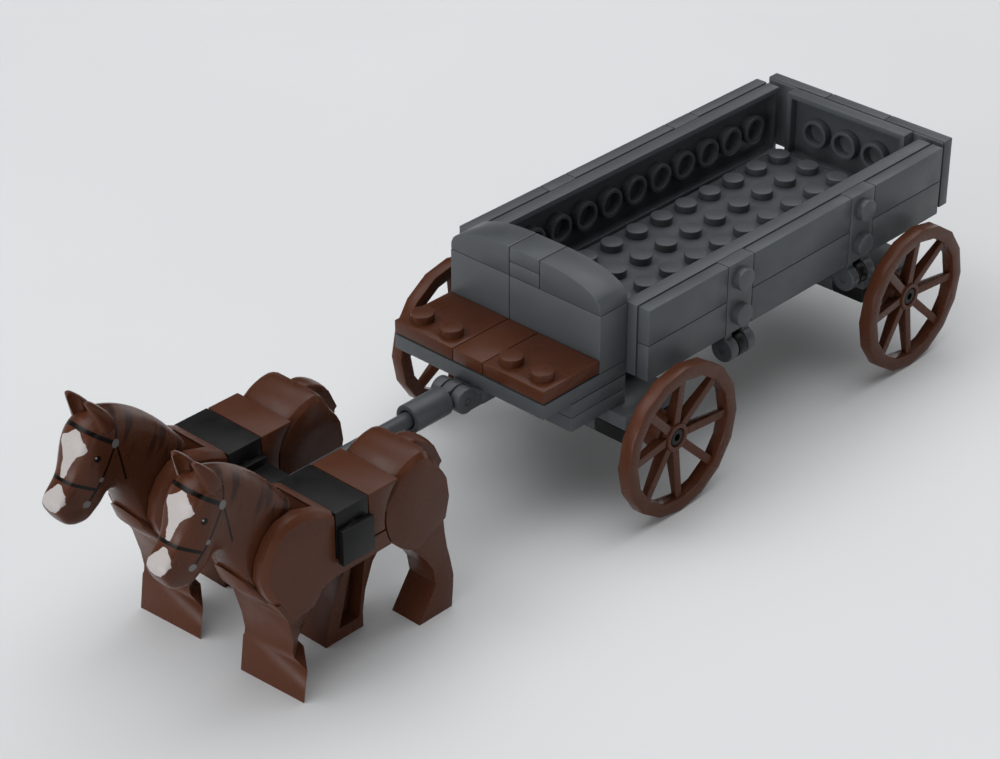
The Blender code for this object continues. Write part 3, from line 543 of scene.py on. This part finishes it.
def build_holder(side):
    """A small plate whose pin the wheel clips on."""
    piece = brick(2, 1, PLATE, [], [], False)
    height = AXLE_Z - (BED_Z - 4 * PLATE)
    combine(piece, soften(drum(2.1, (0, 1, height), (0, 4.3, height)), 0.15))
    tip = HUB_TOP - 0.2 - 20
    pin = drum(PIN_RADIUS, (0, 2, height), (0, tip, height), 24)
    lip = soften(drum(1.75, (0, tip - 0.7, height), (0, tip, height), 24), 0.15)
    combine(pin, lip)
    carve(pin, drum(0.8, (0, tip - 3, height), (0, tip + 1, height), 24))
    return combine(piece, pin)


def build_front():
    lower = brick(2, 5, PLATE, [], [], False)
    stand(lower, (MIDDLE_X, 0, 0))
    upper = brick(2, 5, PLATE - 0.1, [], [], False)
    stand(upper, (MIDDLE_X, 0, PLATE))
    carve(upper, block((-0.1, -4.1, PLATE - 1), (20, 4.1, 3 * PLATE)))
    piece = gather([lower, upper])
    stand(piece, (DASH_X + PITCH, 0, KEEL_Z))
    dress(piece, "front_plates", "front_block")
    piece = brick(3, 5, PLATE)
    stand(piece, (DASH_X + 1.5 * PITCH, 0, BED_Z))
    dress(piece, "platform", "platform_plate")


def build_seat():
    x = DASH_X + 2 * PITCH
    for side, label in SIDES:
        piece = brick(2, 2, PLATE, [(PITCH / 2, v) for v in (-PITCH / 2, PITCH / 2)], [], True, LIFT, True)
        stand(piece, (x, side * 1.5 * PITCH, SEAT_Z))
        dress(piece, label + "_seat", "seat_tile_" + label)
    piece = brick(2, 1, PLATE, [], [], True, LIFT, True)
    stand(piece, (x, 0, SEAT_Z))
    dress(piece, "middle_seat", "seat_tile_middle")


def build_dashboard():
    x = DASH_X + PITCH / 2
    height = 4 * PLATE
    top = SEAT_Z + height
    for label, count, side in (("right", 2, -1), ("left", 3, 1)):
        piece = brick(count, 1, height)
        stand(piece, (x, side * (5 - count) * PITCH / 2, SEAT_Z), Y_AXIS)
        dress(piece, "dash_wall_" + label, "dash_brick_" + label)
    for side, label in SIDES:
        piece = curved_slope()
        stand(piece, (x, side * PITCH / 2, top), Y_AXIS * side)
        dress(piece, "dash_slope_" + label, "dash_curve_" + label)
    low = brick(1, 1, PLATE)
    high = brick(1, 1, PLATE, [], [], False)
    stand(high, (MIDDLE_X, 0, PLATE))
    piece = gather([low, high])
    stand(piece, (x, 0, top))
    dress(piece, "dash_top", "dash_crown")


def curved_slope():
    """A block whose top is turned down to a quarter ellipse."""
    length = 2 * PITCH - GAP
    piece = block((GAP / 2, GAP / 2 - PITCH / 2, LIFT), (length, PITCH / 2 - GAP / 2, 2 * PLATE))
    enter(piece)
    pick_faces(piece, lambda middle, normal: normal.z < -0.9)
    bpy.ops.mesh.delete(type="FACE")
    leave()
    steps = 24
    for k in range(1, steps):
        enter(piece)
        bpy.ops.mesh.select_all(action="SELECT")
        bpy.ops.mesh.bisect(plane_co=(length * k / steps * MM, 0, 0), plane_no=(1, 0, 0))
    enter(piece, "EDGE")
    mesh = bmesh.from_edit_mesh(piece.data)
    for vert in mesh.verts:
        if vert.co.z > PLATE * MM:
            share = min(1.0, max(0.0, vert.co.x / MM / length))
            vert.co.z = (1.5 + (2 * PLATE - 1.5) * math.sqrt(1 - share * share)) * MM
    rim = [edge for edge in mesh.edges if edge.is_boundary]
    for edge in rim:
        edge.select_set(True)
    bmesh.update_edit_mesh(piece.data)
    bpy.ops.mesh.edge_face_add()
    leave()
    return soften(piece)


# Side boards and tailgate


def build_side_board(side, label):
    up = Y_AXIS * side
    name = label + "_board"
    piece = brick(12, 2, PLATE, [], grid(11, 1), True, 0.0)
    stand(piece, (48, side * BOARD_Y, WALL_Z), X_AXIS, up)
    dress(piece, name + "_inner", name + "_plate")
    outer = side * (BOARD_Y + PLATE)
    for part, first, count in (("rear", 0, 3), ("middle", 4, 4), ("front", 9, 3)):
        plank = brick(count, 1, PLATE, [], [], False, LIFT, True)
        piece = spread(plank, [(0, -PITCH / 2), (0, PITCH / 2)])
        stand(piece, ((first + count / 2) * PITCH, outer, WALL_Z), X_AXIS, up)
        dress(piece, "%s_planks_%s" % (name, part), "%s_panel_%s" % (name, part))
    for part, x in (("rear", 28), ("front", 68)):
        piece = brick(2, 1, PLATE, grid(2, 1))
        double_finger(piece, WALL_Z - HINGE_Z, HINGE_OUT - PLATE, PITCH)
        stand(piece, (x, outer, WALL_Z), -Z_AXIS, up)
        dress(piece, "%s_hinge_%s" % (name, part), "%s_strap_%s" % (name, part))


def build_tailgate():
    back = -X_AXIS
    piece = brick(2, 4, PLATE, [], grid(1, 3), True, 0.0)
    stand(piece, (GATE_X, 0, WALL_Z), Z_AXIS, back)
    dress(piece, "tailgate_inner", "tailgate_plate")
    outer = GATE_X - PLATE
    for part, rows, y, lift in (("left", 2, 16, 0), ("right", 2, -16, 0), ("middle", 1, 0, PITCH / 2)):
        piece = brick(rows, 2, PLATE, [], [], False, LIFT, True)
        stand(piece, (outer, y, WALL_Z + lift), Z_AXIS, back)
        dress(piece, "tailgate_planks_" + part, "tailgate_tile_" + part)
    piece = brick(1, 2, PLATE, grid(1, 2))
    double_finger(piece, WALL_Z - PITCH / 2 - HINGE_Z, HINGE_OUT - PLATE, PITCH / 2)
    stand(piece, (outer, 0, WALL_Z - PITCH / 2), -Z_AXIS, back)
    dress(piece, "tailgate_hinge", "tailgate_strap")


# Wheels


def spoke():
    """A cube drawn out from hub to rim: deep at the hub, with a narrow ridge behind."""
    piece = block((2.6, -0.95, WHEEL_FACE - 4.4), (14.2, 0.95, WHEEL_FACE - 0.6))
    for vert in piece.data.vertices:
        x, y, z = vert.co / MM
        rim = x > 8
        if z < WHEEL_FACE - 2:
            z = WHEEL_FACE - (2.2 if rim else 4.8)
            y *= 0.4
        else:
            z = WHEEL_FACE - (0.6 if rim else 1.9)
        vert.co = Vector((x, y, z)) * MM
    return soften(piece, 0.15)


def wheel():
    """A spoked wheel on the bench, its axle upright and its face up."""
    rim = drum(AXLE_Z, (0, 0, WHEEL_FACE - RIM_DEPTH), (0, 0, WHEEL_FACE), RIM_SIDES)
    enter(rim)
    pick_faces(rim, lambda middle, normal: abs(normal.z) > 0.9)
    bpy.ops.mesh.inset(thickness=RIM_BREADTH * MM)
    bpy.ops.mesh.bridge_edge_loops()
    bpy.ops.mesh.select_all(action="SELECT")
    bpy.ops.mesh.normals_make_consistent(inside=False)
    leave()
    soften(rim, 0.25, 2, 40)
    first = spoke()
    for k in range(SPOKE_COUNT):
        arm = twin(first)
        arm.rotation_euler = (0, 0, math.tau * k / SPOKE_COUNT)
        combine(rim, freeze(arm))
    bpy.data.objects.remove(first, do_unlink=True)
    hub = drum(HUB_RADIUS, (0, 0, HUB_FOOT), (0, 0, HUB_TOP))
    enter(hub)
    pick_faces(hub, lambda middle, normal: normal.z > 0.9)
    bpy.ops.mesh.inset(thickness=0.95 * MM)
    bpy.ops.mesh.extrude_region_move(TRANSFORM_OT_translate={"value": (0, 0, -1.2 * MM)})
    leave()
    soften(hub, 0.15)
    combine(rim, hub)
    combine(rim, soften(drum(BARREL_RADIUS, (0, 0, HUB_FOOT + 0.15), (0, 0, WHEEL_FACE - 3.4)), 0.2))
    return carve(rim, drum(PIN_HOLE, (0, 0, HUB_FOOT - 5), (0, 0, WHEEL_FACE + 5)))


def build_wheels():
    first = wheel()
    for end, x in ENDS:
        for side, label in SIDES:
            piece = twin(first)
            stand(piece, (x, 0, AXLE_Z), X_AXIS, Y_AXIS * side)
            dress(piece, "%s_%s_spoked_wheel" % (end, label), "%s_%s_wheel" % (end, label))
    bpy.data.objects.remove(first, do_unlink=True)


# Pole


def build_pole():
    piece = brick(2, 1, PLATE - 0.1)
    double_finger(piece, 12.0, POLE_Z - BED_Z + PLATE, PITCH)
    stand(piece, (112, 0, BED_Z - PLATE))
    dress(piece, "pole_hinge", "pole_hinge_base")

    piece = soften(drum(HINGE_RADIUS, (0, -FINGER_HALF, 0), (0, FINGER_HALF, 0), 40), 0.25, 3)
    combine(piece, soften(block((0, -1.1, -2.2), (4, 1.1, 2.2)), 0.15))
    barrel = drum(3.0, (3.0, 0, 0), (12.6, 0, 0), 40)
    enter(barrel)
    pick_faces(barrel, lambda middle, normal: normal.x > 0.9)
    bpy.ops.mesh.inset(thickness=1.1 * MM)
    bpy.ops.mesh.extrude_region_move(TRANSFORM_OT_translate={"value": (-5.9 * MM, 0, 0)})
    leave()
    combine(piece, soften(barrel, 0.2, 3))
    stand(piece, (124, 0, POLE_Z))
    dress(piece, "pole_barrel", "pole_knuckle")

    piece = soften(drum(SHAFT_RADIUS, (0, 0, 0), (46, 0, 0)), 0.2)
    stand(piece, (131, 0, POLE_Z))
    dress(piece, "pole_shaft", "pole_bar", gray_plastic)
    piece = soften(block((-3.7, -YOKE_HALF, -3.2), (3.7, YOKE_HALF, 3.2)), 0.2)
    carve(piece, drum(SHAFT_RADIUS + 0.15, (-10, 0, 0), (10, 0, 0)))
    stand(piece, (171.8, 0, POLE_Z))
    dress(piece, "pole_cross_block", "pole_yoke")


# Horses


def take_over(node):
    """A copy of a CAD piece with its seams merged."""
    piece = bpy.data.objects.new(node, frame["nodes"][node].data.copy())
    bpy.context.collection.objects.link(piece)
    enter(piece, "VERT")
    bpy.ops.mesh.select_all(action="SELECT")
    bpy.ops.mesh.remove_doubles(threshold=0.000005)
    bpy.ops.mesh.dissolve_limited(angle_limit=math.radians(1.0))
    leave()
    return piece


# Widths of a section from its crest to its throat, as shares of the widest
FLANK = (0.66, 0.90, 1.00, 1.00, 1.00, 0.96)
NAPE = (0.52, 0.86, 1.00, 1.00, 0.96, 0.80)
BROW = (0.76, 0.95, 1.00, 1.00, 0.90, 0.64)
FACE = (0.68, 0.89, 1.00, 0.98, 0.82, 0.52)
MUZZLE = (0.84, 0.98, 1.00, 0.98, 0.88, 0.66)
# Crest, throat, half width and widths of each section, from withers to nose
HEAD_SECTIONS = (
    ((178.9, 36.6), (190.8, 21.2), 4.15, FLANK), ((181.6, 39.8), (193.7, 24.7), 4.15, FLANK),
    ((184.0, 43.0), (195.3, 28.7), 4.2, FLANK), ((187.2, 46.5), (196.7, 32.9), 4.15, NAPE),
    ((191.3, 50.0), (198.7, 36.2), 4.05, NAPE), ((196.0, 52.6), (199.9, 36.4), 4.25, NAPE),
    ((200.0, 53.1), (201.0, 35.6), 4.55, BROW), ((203.2, 51.6), (202.0, 34.1), 4.7, BROW),
    ((205.1, 49.3), (203.0, 32.7), 4.35, FACE), ((206.1, 46.2), (204.0, 31.7), 3.85, FACE),
    ((207.1, 43.2), (205.3, 31.6), 3.3, FACE), ((208.9, 40.6), (206.9, 32.2), 3.0, MUZZLE),
    ((211.0, 38.7), (208.3, 32.9), 2.8, MUZZLE), ((211.0, 36.6), (209.5, 34.0), 2.1, MUZZLE),
)
EAR_Y = 2.6
EAR_SECTIONS = (
    ((197.6, 49.0), (201.4, 48.8), 1.7, MUZZLE), ((197.9, 51.4), (201.9, 51.4), 2.0, MUZZLE),
    ((199.0, 53.4), (202.4, 53.6), 1.8, MUZZLE), ((200.6, 55.2), (203.0, 55.4), 1.15, MUZZLE),
    ((202.3, 56.6), (203.3, 56.8), 0.4, MUZZLE),
)
TAIL_SECTIONS = (
    ((153.0, 37.4), (153.0, 33.0), 2.5, MUZZLE), ((149.0, 36.8), (150.5, 31.5), 2.6, MUZZLE),
    ((145.8, 34.4), (148.6, 29.6), 2.5, MUZZLE), ((143.7, 30.6), (147.6, 27.6), 2.4, MUZZLE),
    ((143.4, 27.0), (147.2, 25.4), 2.1, MUZZLE), ((144.9, 23.6), (147.8, 23.2), 1.4, MUZZLE),
)
# Corners of the front legs at falling heights: right front, left front, left back, right back
FRONT_LEGS = (
    (22.5, (189.0, -7.2), (189.0, 7.2), (179.0, 7.2), (179.0, -7.2)),
    (17.6, (187.6, -7.2), (187.6, 7.2), (181.4, 6.6), (181.4, -6.6)),
    (12.3, (186.2, -7.1), (185.9, 6.2), (181.6, 4.2), (181.6, -4.2)),
    (8.8, (185.7, -7.0), (185.0, 5.0), (181.6, 2.6), (181.2, -3.6)),
    (7.6, (185.9, -7.0), (185.0, 5.2), (181.6, 2.6), (180.6, -3.6)),
    (7.0, (186.1, -7.2), (185.5, 9.2), (180.8, 3.2), (179.4, -3.4)),
    (0.0, (187.4, -6.9), (186.3, 8.8), (181.4, 3.0), (179.4, -3.2)),
)


def draw_out(sections, y, levels=2):
    """A round face drawn out through sections: extruded, resized and turned, then widened pair by pair."""
    leave()
    bpy.ops.object.select_all(action="DESELECT")
    bpy.ops.mesh.primitive_circle_add(vertices=14, radius=MM, fill_type="NGON", rotation=(0, 0, -math.pi / 2))
    piece = freeze(bpy.context.object)
    enter(piece, "VERT")
    bpy.ops.mesh.select_all(action="SELECT")
    place, length, turn = Vector((0, 0, 0)), 1.0, 0.0
    for k, (crest, throat, half, shares) in enumerate(sections):
        middle = (point(crest[0], y, crest[1]) + point(throat[0], y, throat[1])) / 2
        reach = point(crest[0], y, crest[1]) - middle
        if k:
            bpy.ops.mesh.extrude_region_move(TRANSFORM_OT_translate={"value": middle - place})
        else:
            bpy.ops.transform.translate(value=middle)
        scale = reach.length / MM / length
        bpy.ops.transform.resize(value=(scale, 1, scale), center_override=middle)
        angle = math.atan2(reach.z, reach.x)
        bpy.ops.transform.rotate(value=angle - turn, orient_axis="Y", center_override=middle)
        place, length, turn = middle, reach.length / MM, angle
        mesh = bmesh.from_edit_mesh(piece.data)
        ring = {vert.index: (vert.co - middle).dot(reach) / reach.length_squared
                for vert in mesh.verts if vert.select}
        for pair, part in enumerate(shares, 1):
            level = math.cos(math.tau * pair / 14)
            bpy.ops.mesh.select_all(action="DESELECT")
            mesh = bmesh.from_edit_mesh(piece.data)
            mesh.verts.ensure_lookup_table()
            for index, share in ring.items():
                if abs(share - level) < 0.02:
                    mesh.verts[index].select_set(True)
                    width = abs(mesh.verts[index].co.y - middle.y)
            bpy.ops.transform.resize(value=(1, half * part * MM / width, 1), center_override=middle)
        mesh = bmesh.from_edit_mesh(piece.data)
        mesh.verts.ensure_lookup_table()
        for index in ring:
            mesh.verts[index].select_set(True)
        mesh.select_flush(True)
        bmesh.update_edit_mesh(piece.data)
    bpy.ops.mesh.select_all(action="SELECT")
    bpy.ops.mesh.normals_make_consistent(inside=False)
    only(piece)
    modifier = piece.modifiers.new("round", "SUBSURF")
    modifier.levels = modifier.render_levels = levels
    bpy.ops.object.modifier_apply(modifier=modifier.name)
    return piece


def horse_ear(y, side):
    """A leaf drawn out upwards and hollowed in front, on its inner half."""
    ear = draw_out(EAR_SECTIONS, y)
    leave()
    bpy.ops.object.select_all(action="DESELECT")
    bpy.ops.mesh.primitive_uv_sphere_add(segments=24, ring_count=14, rotation=(0, 0.3, 0),
                                         location=point(202.7, y - side * 0.9, 53.2),
                                         scale=(2.2 * MM, 1.35 * MM, 3.3 * MM))
    return carve(ear, freeze(bpy.context.object))


# Markings printed on the head. White: height, then its reach to the left and to the right of the middle
MARKINGS = (
    (36.5, -0.5, -0.5), (36.9, 1.6, 1.2), (37.9, 2.45, 2.3), (38.7, 2.75, 2.4), (39.9, 2.35, 1.3),
    (40.4, 1.7, 0.75), (41.15, 0.9, 0.1), (41.3, -0.5, -0.5), (42.1, -0.5, -0.5), (42.3, 0.8, 0.35),
    (43.6, 0.95, 0.85), (45.0, 1.45, 0.8), (46.3, 2.2, 1.3), (47.0, 3.3, 1.75), (47.6, 3.7, 2.5),
    (48.7, 3.1, 2.6), (49.5, 2.2, 1.1), (50.3, 1.4, 0.1), (50.6, -0.5, -0.5),
)
WHITE = (0.38, 0.352, 0.342, 1)
LEATHER = (0.003, 0.002, 0.0015, 1)
STEEL = (0.12, 0.115, 0.112, 1)
JET = (0.001, 0.001, 0.001, 1)
# Bridle straps as (x, z) lines with half their width, seen from the side
STRAPS = (
    ((203.9, 51.2), (198.5, 46.8), 0.42), ((198.5, 46.8), (205.2, 37.0), 0.25),
    ((208.6, 42.3), (204.0, 39.8), 0.34), ((198.3, 46.4), (196.6, 38.4), 0.22),
    ((198.4, 47.0), (197.6, 49.8), 0.22),
)
# Rosette, buckle, bit ring, eye and its glint: place and radius, and colour
DOTS = (
    ((198.5, 46.8, 0.85), STEEL), ((202.4, 41.2, 0.5), STEEL), ((205.3, 36.9, 0.75), STEEL),
    ((202.85, 45.65, 0.66), JET), ((203.1, 45.95, 0.17), WHITE),
)
CREST_FOOT = (184.0, 43.0)
CREST_TILT = 38.7


def horse_print_and_shade(y):
    """The blaze, bridle and eyes printed on the head, and mane strokes painted darker as the shade in the
    moulded mane's grooves, in the plane of a height y.
    """

    def print_and_shade(finish, base):
        x, across, z = [part / MM for part in finish.parts(finish.place)]
        x = x + MIDDLE_X
        across = across - y
        low, high = MARKINGS[0][0], MARKINGS[-1][0]
        reach = []
        for column in (1, 2):
            stops = [((row[0] - low) / (high - low), ((row[column] + 1) / 5,) * 3 + (1,)) for row in MARKINGS]
            ramp = finish.node("ShaderNodeValToRGB", {"stops": stops}, {0: (z - low) / (high - low)})
            reach.append(Amount(finish, ramp.outputs[0]) * 5 - 1)
        ragged = (finish.noise(1500.0, 2.0) - 0.5) * 0.5
        left = (reach[0] - across + ragged).ramp(-0.05, 0.05)
        right = (reach[1] + across + ragged).ramp(-0.05, 0.05)
        white = left * right * x.ramp(202.9, 203.0)

        def line(start, end, half):
            span = Vector(end) - Vector(start)
            run = ((x - start[0]) * span.x + (z - start[1]) * span.y) * (1 / span.length_squared)
            run = run.ramp(0.0, 1.0)
            away = (x - start[0] - run * span.x) ** 2 + (z - start[1] - run * span.y) ** 2
            return (away ** 0.5).ramp(half - 0.05, half + 0.05, 1.0, 0.0)

        def spot(u, w, radius):
            away = (x - u) ** 2 + (z - w) ** 2
            return (away ** 0.5).ramp(radius - 0.05, radius + 0.05, 1.0, 0.0)

        tilt = math.radians(CREST_TILT)
        forward, rise = x - CREST_FOOT[0], z - CREST_FOOT[1]
        along = forward * math.cos(tilt) + rise * math.sin(tilt)
        below = forward * math.sin(tilt) - rise * math.cos(tilt)
        comb = finish.node("ShaderNodeCombineXYZ", None, {0: along * 0.75, 1: below * 0.12, 2: across * 0.1})
        mane_groove_shade = finish.noise(1.0, 1.0, 0.5, comb.outputs[0]).ramp(0.48, 0.56)
        mane_groove_shade = mane_groove_shade * below.ramp(-0.5, 0.8) * below.ramp(4.0, 8.5, 1.0, 0.0)
        mane_groove_shade = mane_groove_shade * x.ramp(197.5, 198.5, 1.0, 0.0)
        # Painted shade: the mane strokes are darker brown where the moulded mane's grooves fall in shade.
        base = finish.mix(mane_groove_shade * 0.8, base, shade(BROWN, 0.3))
        base = finish.mix(white, base, WHITE)
        side = abs(across).ramp(2.3, 2.4)
        for strap in STRAPS:
            base = finish.mix(line(*strap), base, LEATHER)
        for dot, color in DOTS:
            base = finish.mix(spot(*dot) * side, base, color)
        return base

    return print_and_shade


def build_head(label, y):
    piece = draw_out(HEAD_SECTIONS, y, 3)
    for side, _ in SIDES:
        combine(piece, horse_ear(y + side * EAR_Y, side))
    plastic = moulded_plastic(label + "_head_plastic", BROWN, 0.26, 0.17, horse_print_and_shade(y))
    dress(piece, label + "_horse_head", label + "_horse_neck", plastic, 60)


def front_legs(y):
    """A block cut into levels, each with its corners moved to their places."""
    piece = block((170, y - 8, 0), (190, y + 8, 22.5))
    for level, *_ in FRONT_LEGS[1:-1]:
        enter(piece)
        bpy.ops.mesh.select_all(action="SELECT")
        bpy.ops.mesh.bisect(plane_co=(0, 0, level * MM), plane_no=(0, 0, 1))
    leave()
    columns = {(True, False): 1, (True, True): 2, (False, True): 3, (False, False): 4}
    for vert in piece.data.vertices:
        row = min(FRONT_LEGS, key=lambda item: abs(item[0] * MM - vert.co.z))
        x, across = row[columns[vert.co.x > 180 * MM, vert.co.y > y * MM]]
        vert.co.xy = point(x, y + across, 0).xy
    return piece


def build_trunk(label, y):
    piece = take_over(label + "_horse_body")
    carve(piece, block((168 - MIDDLE_X, y - 12, -2), (200 - MIDDLE_X, y + 12, 17.3)))
    combine(piece, front_legs(y))
    dress(soften(piece, 0.3, 3, 32), label + "_horse_trunk", label + "_horse_body", None, 50)


def build_rump(label, y):
    piece = soften(take_over(label + "_horse_hindquarters"), 0.3, 3, 28)
    combine(piece, draw_out(TAIL_SECTIONS, y))
    dress(piece, label + "_horse_rump", label + "_horse_hindquarters", None, 60)


def build_horse(side, label):
    y = side * HORSE_Y
    build_head(label, y)
    build_trunk(label, y)
    build_rump(label, y)
    piece = soften(take_over(label + "_horse_back_brick"), 0.2, 2, 28)
    dress(piece, label + "_horse_back", label + "_horse_back_brick", None, 40)
    piece = soften(take_over(label + "_horse_harness"), 0.25, 2, 28)
    dress(piece, label + "_horse_saddle", label + "_horse_harness", None, 40)


# Studio


# Soft lights as patches of the sky: direction in degrees, height from 0 to 1, half its spread, strength
SKY_PATCHES = (
    (0, 0.17, 0.34, 7.8), (90, 0.17, 0.34, 1.9), (180, 0.17, 0.34, 2.5), (270, 0.17, 0.34, 0.4),
    (315, 0.77, 0.23, 5.0), (180, 0.77, 0.23, 3.0), (225, 0.77, 0.23, 1.9), (270, 0.77, 0.23, 0.4),
)
OVERHEAD = 1.9
HORIZON = 0.7
FLOOR_SIZE = 12.0
FLOOR_TONES = ((0.61, 0.62, 0.63, 1), (0.65, 0.66, 0.67, 1))

CAMERA_PLACE = (0.34522, 0.31717, 0.30684)
CAMERA_AZIMUTH = math.radians(133.264)
CAMERA_ELEVATION = math.radians(31.334)
CAMERA_LENS = 99.144


def build_studio():
    bpy.ops.object.select_all(action="DESELECT")
    bpy.ops.mesh.primitive_plane_add(size=FLOOR_SIZE, location=(0, 0, 0))
    floor = bpy.context.object
    floor.name = "studio_floor"
    finish = Finish("pale_floor", 0.15)
    cloud = finish.noise(3.0, 3.0)
    base = finish.mix(cloud.ramp(0.3, 0.7), *FLOOR_TONES)
    finish.surface(base, finish.noise(40.0).ramp(0.3, 0.7, 0.55, 0.65), finish.noise(900.0), 0.05)
    floor.data.materials.append(finish.material)
    world = bpy.context.scene.world or bpy.data.worlds.new("studio")
    bpy.context.scene.world = world
    world.use_nodes = True
    sky = Nodes(world.node_tree)
    x, y, z = sky.parts(sky.node("ShaderNodeTexCoord").outputs["Generated"])
    flat = (1.0001 - z * z) ** 0.5
    light = z.ramp(0.77, 0.98, 0.0, OVERHEAD) + abs(z).ramp(0.0, 0.06, HORIZON, 0.0)
    for degrees, height, spread, strength in SKY_PATCHES:
        turn = math.radians(degrees)
        toward = (x * math.cos(turn) + y * math.sin(turn)) / flat
        light = light + toward.ramp(0.78, 1.0) * abs(z - height).ramp(0.0, spread, strength, 0.0)
    background = world.node_tree.nodes["Background"]
    sky.feed(background, {"Color": (0.99, 0.995, 1.0, 1), "Strength": light})
    bpy.context.scene.view_settings.view_transform = "Standard"


def build_camera():
    flat = math.cos(CAMERA_ELEVATION)
    back = Vector((math.sin(CAMERA_AZIMUTH) * flat, -math.cos(CAMERA_AZIMUTH) * flat,
                   math.sin(CAMERA_ELEVATION)))
    data = bpy.data.cameras.new("photo_camera")
    data.lens = CAMERA_LENS
    data.sensor_width = 36.0
    data.clip_start = 0.01
    camera = bpy.data.objects.new("photo_camera", data)
    bpy.context.collection.objects.link(camera)
    camera.location = CAMERA_PLACE
    camera.rotation_euler = back.to_track_quat("Z", "Y").to_euler()
    bpy.context.scene.camera = camera


build_camera()
build_studio()
build_bed()
build_keel()
build_hinge_bases()
build_axles()
build_front()
build_seat()
build_dashboard()
for side, label in SIDES:
    build_side_board(side, label)
build_tailgate()
build_wheels()
build_pole()
for side, label in SIDES:
    build_horse(side, label)
leave()
